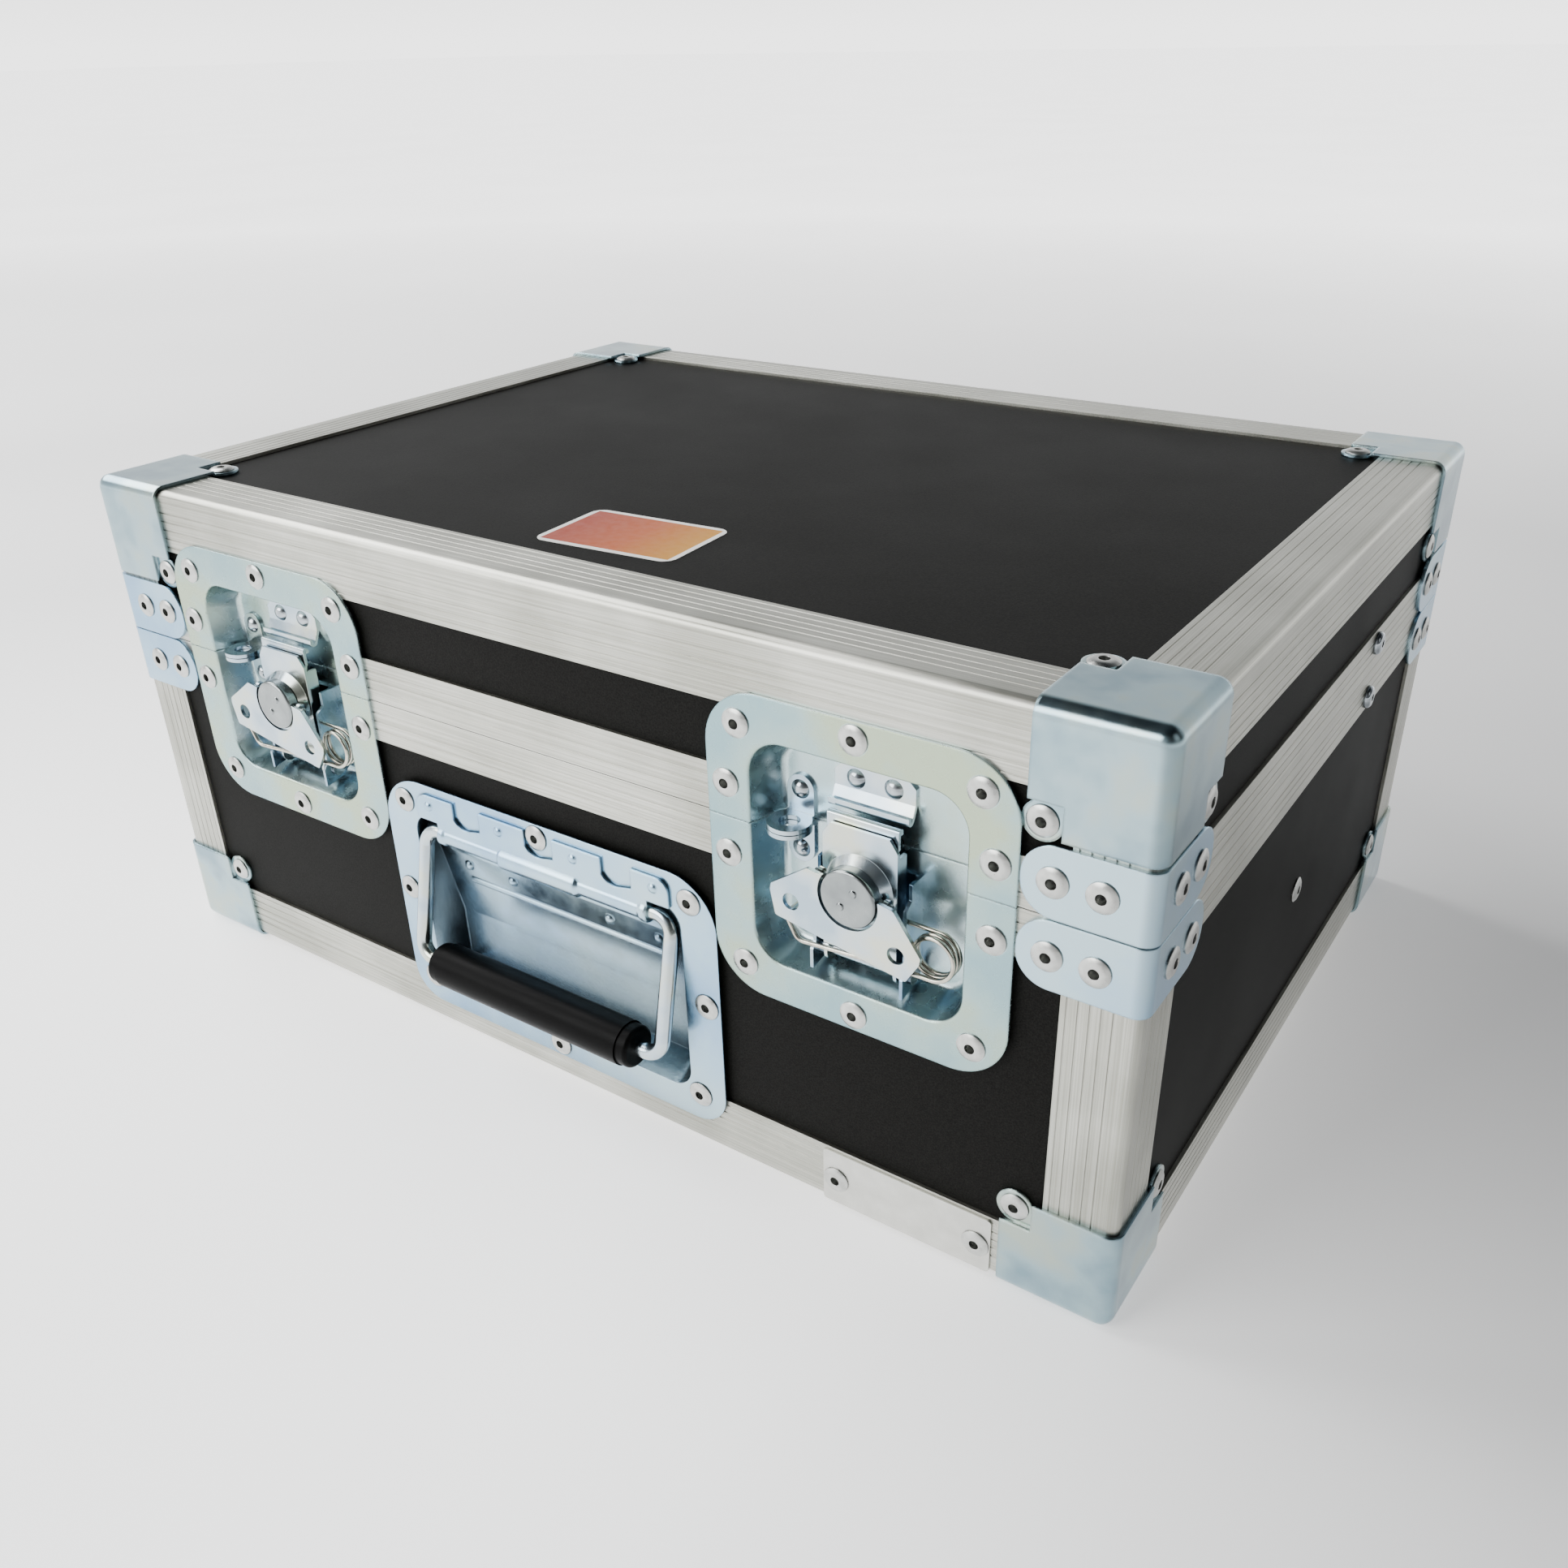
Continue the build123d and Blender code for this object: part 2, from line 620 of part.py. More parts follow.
def make_closures():
    """The closure extrusions of base and lid, cut away where the latch dishes pass through them."""
    parts = (
        ("base", SPLIT_Z - LID_GAP / 2, DOWN, base_closure, False),
        ("lid", SPLIT_Z + LID_GAP / 2, UP, lid_closure, True),
    )
    for half, level, away, section, top in parts:
        with BuildPart() as closure:
            for face_y, inward in ((FRONT_Y, OUT_BACK), (BACK_Y, OUT_FRONT)):
                bar(section, (-SIDE_X, face_y, level), (SIDE_X, face_y, level), inward, away)
                if not top:
                    end = SIDE_X - TONGUE_SETBACK
                    bar(tongue_section, (-end, face_y, level), (end, face_y, level), inward, UP)
            for side in SIDES.values():
                x = side * SIDE_X
                inward = (-side, 0, 0)
                near, far = FRONT_Y + CLOSURE_FACE, BACK_Y - CLOSURE_FACE
                bar(section, (x, near, level), (x, far, level), inward, away)
                if not top:
                    near, far = FRONT_Y + TONGUE_SETBACK, BACK_Y - TONGUE_SETBACK
                    bar(tongue_section, (x, near, level), (x, far, level), inward, UP)
            with BuildPart(mode=Mode.PRIVATE) as outline:
                block((-SIDE_X, FRONT_Y, FLOOR_Z), (SIDE_X, BACK_Y, TOP_Z))
                fillet(outline.edges().filter_by(Axis.Z), EDGE_ROUND)
            add(outline.part, mode=Mode.INTERSECT)
            latch_windows()
            drill(latch_rivets(top), SHEET + CLOSURE_FACE)
            drill(brace_rivets(top), CAP_WALL + CLOSURE_FACE)
            drill(hinge_rivets(top), HINGE_LEAF_THICK + CLOSURE_FACE)
            drill_stay()
        write(closure, f"{half}_closure_profiles")


# Corner hardware

def cap_shape():
    """One corner cap at the origin, with its legs along +X, +Y and +Z."""
    over = -CAP_WALL
    with BuildPart() as cap:
        block((over, over, over), (CAP_LEG, CAP_LEG, CAP_LEG))
        near = cap.edges().filter_by(lambda e: e.distance_to(Vertex(over, over, over)) < 0.01)
        fillet(near, EDGE_ROUND + CAP_WALL)
        with BuildPart(mode=Mode.PRIVATE) as hollow:
            block((0, 0, 0), (2 * CAP_LEG, 2 * CAP_LEG, 2 * CAP_LEG))
            inner = hollow.edges().filter_by(lambda e: e.distance_to(Vertex(0, 0, 0)) < 0.01)
            fillet(inner, CAP_INNER_ROUND)
        add(hollow.part, mode=Mode.SUBTRACT)
        for face in (Plane.XY, Plane.YZ, Plane.ZX):
            cut_plane = face.offset(-2 * CAP_WALL)
            with BuildSketch(cut_plane):
                with Locations((CAP_NOTCH, CAP_NOTCH)):
                    Rectangle(CAP_LEG, CAP_LEG, align=(Align.MIN, Align.MIN))
            extrude(amount=2 * CAP_WALL, mode=Mode.SUBTRACT)
            with BuildSketch(face):
                foot = EDGE_LEG
                with Locations((foot, foot)):
                    Rectangle(EAR_PLACE - foot, EAR_PLACE - foot, align=(Align.MIN, Align.MIN))
                with Locations((EAR_PLACE, EAR_PLACE)):
                    Circle(EAR_RADIUS)
                    Circle(RIVET_SHANK, mode=Mode.SUBTRACT)
            extrude(amount=EDGE_WALL)
    return cap.part


def brace_shape():
    """One corner brace round an upright edge at the origin, with its legs along +X and +Y."""
    over = -CAP_WALL
    with BuildPart() as brace:
        with BuildSketch(Plane.XY):
            with Locations((over, over)):
                Rectangle(BRACE_LEG - over, BRACE_LEG - over, align=(Align.MIN, Align.MIN))
            Rectangle(2 * BRACE_LEG, 2 * BRACE_LEG, align=(Align.MIN, Align.MIN), mode=Mode.SUBTRACT)
        extrude(amount=BRACE_HEIGHT)
        corner = brace.edges().filter_by(Axis.Z)
        fillet(corner.sort_by_distance(Vector(over, over, 0))[0], EDGE_ROUND + CAP_WALL)
        inner = brace.edges().filter_by(Axis.Z)
        fillet(inner.sort_by_distance(Vector(0, 0, 0))[0], EDGE_ROUND)
        tips = brace.edges().filter_by(lambda e: e.distance_to(Vertex(0, 0, 0)) > BRACE_LEG - 1)
        tips = tips.filter_by(lambda e: abs(e.length - CAP_WALL) < 0.01)
        fillet(tips, BRACE_HEIGHT / 2 - 1)
    return brace.part


def make_caps():
    cap = cap_shape()
    brace = brace_shape()
    turns = {(-1, -1): 0, (1, -1): 90, (1, 1): 180, (-1, 1): 270}
    for half, level, flip in (("base", FLOOR_Z, 0), ("lid", TOP_Z, 180)):
        top = flip != 0
        with BuildPart() as caps:
            for (sx, sy), turn in turns.items():
                y = FRONT_Y if sy < 0 else BACK_Y
                spin = turn + 90 if top else turn
                corner = Location((sx * SIDE_X, y, level), (0, 0, spin))
                with Locations(corner * Location((0, 0, 0), (flip, 0, 0))):
                    add(cap)
        write(caps, f"{half}_corner_caps")

        rise = LID_GAP if top else -LID_GAP - BRACE_HEIGHT
        with BuildPart() as braces:
            for (sx, sy), turn in turns.items():
                y = FRONT_Y if sy < 0 else BACK_Y
                with Locations(Location((sx * SIDE_X, y, SPLIT_Z + rise), (0, 0, turn))):
                    add(brace)
            drill(brace_rivets(top), 2 * CAP_WALL)
        write(braces, f"{half}_corner_braces")


def blind_rivet(grip, tail):
    """A large-flange blind rivet with its seat at the origin and its head along +Z."""
    end = -grip - tail
    foot = ((0, end), (RIVET_TAIL, end), (RIVET_TAIL, -grip)) if tail else ((0, end),)
    with BuildPart() as rivet:
        with BuildSketch(Plane.XZ):
            with BuildLine():
                Polyline(
                    *foot, (RIVET_SHANK, -grip), (RIVET_SHANK, 0),
                    (RIVET_HEAD, 0), (RIVET_HEAD, RIVET_HEAD_HEIGHT * 0.35),
                )
                ThreePointArc(
                    (RIVET_HEAD, RIVET_HEAD_HEIGHT * 0.35), (RIVET_HEAD * 0.8, RIVET_HEAD_HEIGHT * 0.82),
                    (RIVET_BORE, RIVET_HEAD_HEIGHT),
                )
                Polyline(
                    (RIVET_BORE, RIVET_HEAD_HEIGHT), (RIVET_BORE, -RIVET_BORE_DEPTH),
                    (0, -RIVET_BORE_DEPTH), (0, end),
                )
            make_face()
        revolve(axis=Axis.Z)
    return rivet.part


def place_rivets(places, grip, tail=RIVET_TAIL_LENGTH):
    rivet = blind_rivet(grip, tail)
    with Locations(*[Plane(origin=point, z_dir=out) for point, out in places]):
        add(rivet)


def make_rivets():
    """All the blind rivets of the base, and all those of the lid."""
    for half, top in (("base", False), ("lid", True)):
        with BuildPart() as rivets:
            place_rivets(ear_rivets(top), BOARD_BACK)
            place_rivets(brace_rivets(top), CAP_WALL + CLOSURE_FACE)
            by_reach = {}
            for point, out in latch_rivets(top):
                close = abs(point[2] - SPLIT_Z) < CLOSURE_LEG
                by_reach.setdefault(CLOSURE_FACE if close else BOARD_BACK, []).append((point, out))
            for reach, places in by_reach.items():
                place_rivets(places, SHEET + reach)
            for point, out in hinge_rivets(top):
                close = abs(point[2] - SPLIT_Z) < CLOSURE_LEG
                place_rivets([(point, out)], HINGE_LEAF_THICK + (CLOSURE_FACE if close else BOARD_BACK))
            if not top:
                for point, out in HANDLE_RIVET_PLACES:
                    low = point[2] - FLOOR_Z < INNER_FLANGE
                    place_rivets([(point, out)], SHEET + (INNER_FACE if low else BOARD_BACK))
                place_rivets(LABEL_RIVET_PLACES, LABEL_THICK + INNER_FACE, tail=0)
                place_rivets(SIDE_RIVET_PLACES, BOARD + EDGE_WALL)
        write(rivets, f"{half}_blind_rivets")


def dome_rivet(grip):
    """A dome-head rivet with its seat at the origin and its head along +Z."""
    sphere = (DOME_RADIUS ** 2 + DOME_HEIGHT ** 2) / (2 * DOME_HEIGHT)
    lean = asin(DOME_RADIUS / sphere) / 2
    with BuildPart() as rivet:
        with BuildSketch(Plane.XZ):
            with BuildLine():
                Polyline(
                    (0, DOME_HEIGHT), (0, -grip), (DOME_SHANK, -grip), (DOME_SHANK, 0), (DOME_RADIUS, 0),
                )
                middle = (sphere * sin(lean), DOME_HEIGHT - sphere * (1 - cos(lean)))
                ThreePointArc((DOME_RADIUS, 0), middle, (0, DOME_HEIGHT))
            make_face()
        revolve(axis=Axis.Z)
    return rivet.part


# Latches

def dish_shape(x):
    """The whole latch dish, flange and pan, before it is parted at the split."""
    total = LATCH_DEPTH + SHEET
    with BuildPart() as dish:
        with BuildSketch(front_plane(x, LATCH_Z)):
            RectangleRounded(*LATCH_PLATE, LATCH_PLATE_ROUND)
        extrude(amount=SHEET)
        with BuildSketch(inward_plane(x, LATCH_Z, -SHEET)):
            outside = [size + 2 * PAN_WALL for size in LATCH_MOUTH]
            RectangleRounded(*outside, LATCH_MOUTH_ROUND + PAN_WALL)
        extrude(amount=total + SHEET, taper=LATCH_WALL_SLOPE)
        with BuildSketch(inward_plane(x, LATCH_Z, -SHEET)):
            RectangleRounded(*LATCH_MOUTH, LATCH_MOUTH_ROUND)
        extrude(amount=total, taper=LATCH_WALL_SLOPE, mode=Mode.SUBTRACT)
        floor_edges = dish.faces().filter_by(Axis.Y).sort_by(Axis.Y)[-2].edges()
        fillet(floor_edges, BEND_FRONT)
        back_edges = dish.faces().filter_by(Axis.Y).sort_by(Axis.Y)[-1].edges()
        fillet(back_edges, BEND_FRONT + SHEET - 0.1)
        rim = dish.faces().filter_by(Axis.Y).sort_by(Axis.Y)[0].inner_wires()[0].edges()
        fillet(rim, SHEET * 0.8)
    return dish.part


def make_dishes():
    """Each latch dish in its two halves, with the holes of its rivets."""
    for name, side in SIDES.items():
        whole = dish_shape(side * LATCH_OFFSET)
        for half, top in (("upper", True), ("lower", False)):
            level = SPLIT_Z + (LID_GAP / 2 if top else -LID_GAP / 2)
            with BuildPart() as dish:
                add(whole)
                split(bisect_by=Plane.XY.offset(level), keep=Keep.TOP if top else Keep.BOTTOM)
                drill(latch_rivets(top), 2 * SHEET)
                drill(floor_rivets(side * LATCH_OFFSET, top), 3 * SHEET, DOME_SHANK)
            write(dish, f"{name}_latch_{half}_dish")


def floor_rivets(x, top):
    """The dome rivets on the floor of a latch dish, in the lid's half or the base's half."""
    if top:
        offsets = KEEPER_RIVETS + ((EYE_X, EYE_RISE),)
    else:
        offsets = BRACKET_RIVETS + ((EYE_X, EYE_DROP),)
    return [((x + dx, FRONT_Y + FLOOR_FRONT, LATCH_Z + dz), OUT_FRONT) for dx, dz in offsets]


def make_dome_rivets():
    rivet = dome_rivet(2 * SHEET)
    for half, top in (("base", False), ("lid", True)):
        with BuildPart() as rivets:
            for side in SIDES.values():
                places = floor_rivets(side * LATCH_OFFSET, top)
                with Locations(*[Plane(origin=point, z_dir=out) for point, out in places]):
                    add(rivet)
            if not top:
                with Locations(*[Plane(origin=point, z_dir=out) for point, out in DIVIDER_RIVET_PLACES]):
                    add(dome_rivet(EDGE_WALL + BOARD))
        write(rivets, f"{half}_dome_rivets")


def make_keepers():
    """The keeper plates on the lid: a flat foot, a sloping neck and a lip that curls up in front."""
    foot = LATCH_DEPTH - SHEET / 2
    with BuildPart() as keepers:
        for side in SIDES.values():
            x = side * LATCH_OFFSET
            with BuildSketch(side_plane(x, LATCH_Z)) as section:
                with BuildLine() as path:
                    FilletPolyline(
                        (foot, KEEPER_TOP), (foot, KEEPER_BEND), (KEEPER_LIP_DEPTH + 1.7, KEEPER_LIP_FOOT),
                        (KEEPER_LIP_DEPTH, KEEPER_LIP_FOOT), (KEEPER_LIP_DEPTH, KEEPER_LIP_TOP), radius=0.8,
                    )
                trace(path.line, SHEET)
            extrude(amount=KEEPER_HALF, both=True)
            for end in (-1, 1):
                with BuildSketch(front_plane(x, LATCH_Z, LATCH_DEPTH + 1)):
                    with BuildLine():
                        tip = end * KEEPER_HALF
                        inner = end * (KEEPER_HALF - KEEPER_CHAMFER)
                        low = KEEPER_TOP - KEEPER_CHAMFER
                        Polyline((inner, KEEPER_TOP), (tip, low), (2 * tip, KEEPER_TOP), close=True)
                    make_face()
                extrude(amount=2 * SHEET, mode=Mode.SUBTRACT)
            drill(floor_rivets(x, True)[:2], 3 * SHEET, DOME_SHANK)
    write(keepers, "latch_keepers")


def make_eyes():
    """The padlock eyes: an angle in each half of the dish, whose ring lies along the split."""
    for half, top in (("base", False), ("lid", True)):
        sign = 1 if top else -1
        level = SPLIT_Z + sign * LID_GAP / 2
        rise = LATCH_Z + (EYE_RISE if top else EYE_DROP)
        with BuildPart() as eyes:
            for side in SIDES.values():
                x = side * LATCH_OFFSET + EYE_X
                with BuildSketch(Plane.XY.offset(level)):
                    with Locations((x, FRONT_Y + EYE_RING_DEPTH)):
                        Circle(EYE_RING)
                        reach = LATCH_DEPTH - EYE_RING_DEPTH
                        Rectangle(2 * EYE_PLATE_HALF, reach, align=(Align.CENTER, Align.MIN))
                        Circle(EYE_BORE, mode=Mode.SUBTRACT)
                extrude(amount=sign * EYE_THICK)
                with BuildSketch(front_plane(x, rise, LATCH_DEPTH)):
                    Circle(EYE_PLATE_HALF)
                    length = abs(level - rise)
                    end = Align.MAX if top else Align.MIN
                    Rectangle(2 * EYE_PLATE_HALF, length, align=(Align.CENTER, end))
                extrude(amount=SHEET)
                drill(floor_rivets(side * LATCH_OFFSET, top)[2:], 3 * SHEET, DOME_SHANK)
        write(eyes, f"{half}_padlock_eyes")


def make_latch(name, x):
    """The bracket, carrier, hook, knob and wing of one latch."""
    pivot_start = (x - BRACKET_HALF - SHEET, FRONT_Y + PIVOT_DEPTH, LATCH_Z + PIVOT_RISE)
    pivot_length = 2 * (BRACKET_HALF + SHEET)

    with BuildPart() as bracket:
        block(
            (x - BRACKET_HALF, FRONT_Y + FLOOR_FRONT, LATCH_Z + BRACKET_PLATE_FOOT),
            (x + BRACKET_HALF, FRONT_Y + LATCH_DEPTH, LATCH_Z + BRACKET_TOP),
        )
        for end in (-1, 1):
            cheek_x = x + end * (BRACKET_HALF - SHEET / 2)
            with BuildSketch(side_plane(cheek_x, LATCH_Z)):
                with BuildLine():
                    Polyline(
                        (LATCH_DEPTH, BRACKET_PLATE_FOOT), (9.0, BRACKET_PLATE_FOOT - 3.0),
                        (BRACKET_TOE, BRACKET_FOOT), (BRACKET_TOE, BRACKET_FOOT + 7.2),
                        (2.0, BRACKET_FOOT + 9.5), (2.0, -6.0), (5.3, -3.5), (5.3, BRACKET_TOP),
                        (LATCH_DEPTH, BRACKET_TOP), close=True,
                    )
                make_face()
            extrude(amount=SHEET / 2, both=True)
        round_bar(pivot_start, OUT_RIGHT, pivot_length, PIVOT_RADIUS, mode=Mode.SUBTRACT)
        drill(floor_rivets(x, False)[:2], 3 * SHEET, DOME_SHANK)
    write(bracket, f"{name}_latch_bracket")

    plate_back = CARRIER_DEPTH + SHEET
    with BuildPart() as carrier:
        with BuildSketch(front_plane(x, LATCH_Z, plate_back)):
            with BuildLine():
                half, top_half = CARRIER_HALF, CARRIER_TOP_HALF
                Polyline(
                    (-half, CARRIER_FOOT), (-half, CARRIER_SHOULDER), (-top_half, CARRIER_TOP),
                    (top_half, CARRIER_TOP), (half, CARRIER_SHOULDER), (half, CARRIER_FOOT), close=True,
                )
            make_face()
        extrude(amount=SHEET)
        for end in (-1, 1):
            flange_x = x + end * (CARRIER_HALF - SHEET / 2)
            with BuildSketch(side_plane(flange_x, LATCH_Z)):
                with BuildLine():
                    Polyline(
                        (CARRIER_DEPTH, CARRIER_FOOT), (CARRIER_DEPTH, CARRIER_FLANGE_TOP),
                        (CARRIER_FLANGE_DEPTH, CARRIER_FLANGE_TOP), (CARRIER_FLANGE_DEPTH, PIVOT_RISE),
                        (PIVOT_DEPTH, PIVOT_RISE), close=True,
                    )
                make_face()
                with Locations((PIVOT_DEPTH, PIVOT_RISE)):
                    Circle(PIVOT_LUG)
            extrude(amount=SHEET / 2, both=True)
        knob_z = LATCH_Z + KNOB_RISE
        rise = CARRIER_DEPTH - BOSS_FRONT
        slope = degrees(atan2(BOSS_BASE - BOSS_TOP, rise))
        with BuildSketch(front_plane(x, knob_z, CARRIER_DEPTH)):
            Circle(BOSS_BASE)
        extrude(amount=rise, taper=slope)
        with BuildSketch(front_plane(x, knob_z, plate_back)):
            Circle(BOSS_BASE)
        extrude(amount=rise, taper=slope, mode=Mode.SUBTRACT)
        boss_start = (x, FRONT_Y + plate_back, knob_z)
        round_bar(boss_start, OUT_FRONT, 2 * rise, SPINDLE + RUNNING, mode=Mode.SUBTRACT)
        round_bar(pivot_start, OUT_RIGHT, pivot_length, PIVOT_RADIUS + RUNNING, mode=Mode.SUBTRACT)
    write(carrier, f"{name}_latch_carrier")

    hook_front = plate_back + HOOK_GAP
    hook_middle = hook_front + SHEET / 2
    curl = KEEPER_LIP_DEPTH - SHEET - HOOK_TO_LIP
    neck_half = CARRIER_HALF - SHEET - HOOK_SIDE_GAP
    with BuildPart() as hook:
        with BuildSketch(side_plane(x, LATCH_Z)):
            with BuildLine() as path:
                top = HOOK_TOP - SHEET / 2
                FilletPolyline(
                    (hook_middle, HOOK_FOOT), (hook_middle, top), (curl, top), (curl, top - 1.7), radius=0.7,
                )
            trace(path.line, SHEET)
        extrude(amount=HOOK_HEAD_HALF, both=True)
        for end in (-1, 1):
            near, far = sorted((x + end * neck_half, x + end * (HOOK_HEAD_HALF + 1)))
            low = (near, FRONT_Y, LATCH_Z + HOOK_FOOT - 1)
            block(low, (far, FRONT_Y + LATCH_DEPTH, LATCH_Z + CARRIER_SHOULDER), mode=Mode.SUBTRACT)
        slot = SPINDLE + HOOK_SIDE_GAP
        block(
            (x - slot, FRONT_Y, knob_z - slot - HOOK_LIFT), (x + slot, FRONT_Y + LATCH_DEPTH, knob_z + slot),
            mode=Mode.SUBTRACT,
        )
    write(hook, f"{name}_latch_hook")

    turn = radians(KNOB_TURN)
    turned = Plane(origin=(x, FRONT_Y, knob_z), x_dir=(cos(turn), 0, sin(turn)), z_dir=OUT_FRONT)
    head_front = hook_front + SHEET + HOOK_SIDE_GAP
    with BuildPart() as knob:
        with BuildSketch(turned.offset(-KNOB_REAR)):
            Circle(KNOB_RADIUS)
        extrude(amount=KNOB_REAR - KNOB_FACE)
        face_edge = knob.faces().sort_by(Axis.Y)[0].edges()
        fillet(face_edge, 1.3)
        with BuildSketch(turned.offset(-KNOB_REAR)):
            Circle(SPINDLE)
        extrude(amount=KNOB_REAR - head_front - SPINDLE_HEAD_THICK)
        with BuildSketch(turned.offset(-head_front)):
            Circle(SPINDLE_HEAD)
        extrude(amount=-SPINDLE_HEAD_THICK)
        for angle in (KNOB_PIN_ANGLE, KNOB_PIN_ANGLE + 180):
            place = (KNOB_PIN_OFFSET * cos(radians(angle)), KNOB_PIN_OFFSET * sin(radians(angle)))
            with BuildSketch(turned.offset(-KNOB_FACE)):
                with Locations(place):
                    Circle(KNOB_PIN_RADIUS)
            extrude(amount=0.5, taper=30)
        stub_plane = Plane(
            origin=turned.from_local_coords((0, WING_PIVOT_RISE, -WING_PIVOT_DEPTH)), z_dir=turned.x_dir
        )
        with BuildSketch(stub_plane):
            Circle(WING_PIVOT_RADIUS)
        extrude(amount=WING_STUB_END, both=True)
    write(knob, f"{name}_latch_knob")

    with BuildPart() as wing:
        with BuildSketch(turned.offset(-WING_BACK)) as outline:
            with BuildLine():
                Polyline(
                    (-WING_TOP_HALF, WING_TOP), (WING_TOP_HALF, WING_TOP), (WING_TIP_HALF, WING_TIP_TOP),
                    (WING_TIP_HALF, WING_TIP_FOOT), (WING_FOOT_HALF, WING_FOOT),
                    (-WING_FOOT_HALF, WING_FOOT), (-WING_TIP_HALF, WING_TIP_FOOT),
                    (-WING_TIP_HALF, WING_TIP_TOP), close=True,
                )
            make_face()
            fillet(outline.vertices(), 1.0)
            Circle(WING_NOTCH, mode=Mode.SUBTRACT)
            across, along = WING_HOLE_PLACE
            with Locations((-across, along), (across, along)):
                Circle(WING_HOLE, mode=Mode.SUBTRACT)
        extrude(amount=WING_THICK)
        for end in (-1, 1):
            ear_origin = turned.from_local_coords((end * WING_EAR_INNER, WING_PIVOT_RISE, -WING_PIVOT_DEPTH))
            ear_plane = Plane(origin=ear_origin, x_dir=turned.z_dir, z_dir=turned.x_dir * end)
            with BuildSketch(ear_plane):
                Circle(WING_EAR)
                back = WING_PIVOT_DEPTH - WING_BACK + WING_THICK / 2
                Rectangle(back, 1.4 * WING_EAR, align=(Align.MIN, Align.CENTER))
                Circle(WING_PIVOT_RADIUS + RUNNING, mode=Mode.SUBTRACT)
            extrude(amount=WING_THICK)
    write(wing, f"{name}_latch_wing")


def make_pivot_pins():
    """The pins on which the carriers tip, with a shoulder between carrier and cheek."""
    with BuildPart() as pins:
        for side in SIDES.values():
            x = side * LATCH_OFFSET
            z = LATCH_Z + PIVOT_RISE
            y = FRONT_Y + PIVOT_DEPTH
            reach = BRACKET_HALF + 0.6
            round_bar((x - reach, y, z), OUT_RIGHT, 2 * reach, PIVOT_RADIUS)
            for end in (-1, 1):
                inner = CARRIER_HALF + 0.3
                start = x + end * inner
                length = BRACKET_HALF - SHEET - inner
                round_bar((start, y, z), (end, 0, 0), length, PIVOT_RADIUS + 1.2)
                round_bar((x + end * BRACKET_HALF, y, z), (end, 0, 0), 0.9, PIVOT_RADIUS + 0.9)
    write(pins, "latch_pivot_pins")


def biarc(start, start_way, end, end_way):
    """Two arcs that leave one point along its direction and meet the other along its own."""
    span = end - start
    both = start_way + end_way
    a = 2 * (start_way.dot(end_way) - 1)
    b = -2 * span.dot(both)
    c = span.dot(span)
    reach = (-b - (b * b - 4 * a * c) ** 0.5) / (2 * a)
    first, second = start + start_way * reach, end - end_way * reach
    middle = (first + second) * 0.5
    TangentArc(start, middle, tangent=start_way)
    TangentArc(middle, end, tangent=(second - first).normalized())


def spring_path(x):
    """The wire of a latch spring: floor leg, run below the wing, coil, and leg to the bracket's cheek."""
    def place(dx, dz, depth):
        return Vector(x + dx, FRONT_Y + depth, LATCH_Z + dz)

    centre_x, centre_z = SPRING_CENTRE
    foot = centre_z - SPRING_COIL
    anchor_x, anchor_z = SPRING_ANCHOR
    dip_x, dip_z = SPRING_DIP
    with BuildLine() as path:
        FilletPolyline(
            place(anchor_x, anchor_z, LATCH_DEPTH), place(anchor_x, anchor_z, SPRING_FRONT),
            place(dip_x, dip_z, SPRING_FRONT), place(centre_x - SPRING_RUN_IN, foot, SPRING_FRONT),
            place(centre_x, foot, SPRING_FRONT), radius=SPRING_BENDS,
        )
        lean = SPRING_PITCH / (2 * pi * SPRING_COIL)
        quarters = 2 * SPRING_HALF_TURNS
        for quarter in range(quarters):
            ends = []
            for step in (quarter, quarter + 1):
                angle = -pi / 2 + step * pi / 2
                point = place(
                    centre_x + SPRING_COIL * cos(angle), centre_z + SPRING_COIL * sin(angle),
                    SPRING_FRONT + SPRING_PITCH * step / 4,
                )
                flat = step in (0, quarters)
                way = Vector(-sin(angle), 0 if flat else lean, cos(angle)).normalized()
                ends += [point, way]
            biarc(*ends)
        top = place(centre_x, centre_z + SPRING_COIL, SPRING_FRONT + SPRING_PITCH * quarters / 4)
        Line(top, Vector(x + BRACKET_HALF, top.Y, top.Z))
    return path.wires()[0]


def spring_gap(path):
    """The least gap between parts of the wire that aren't neighbours along it."""
    count = 400
    points = [path @ (i / count) for i in range(count + 1)]
    apart = int(count * pi * SPRING_COIL / path.length)
    least = min(
        (points[i] - points[j]).length for i in range(count + 1) for j in range(i + apart, count + 1)
    )
    return least - 2 * SPRING_WIRE


def make_springs():
    with BuildPart() as springs:
        for side in SIDES.values():
            path = spring_path(side * LATCH_OFFSET)
            with BuildSketch(Plane(origin=path @ 0, z_dir=path % 0)) as wire:
                Circle(SPRING_WIRE)
            sweep(wire.sketch, path=path)
            print(f"latch spring: least gap to itself {spring_gap(path):.2f} mm")
    write(springs, "latch_springs")


# Handle

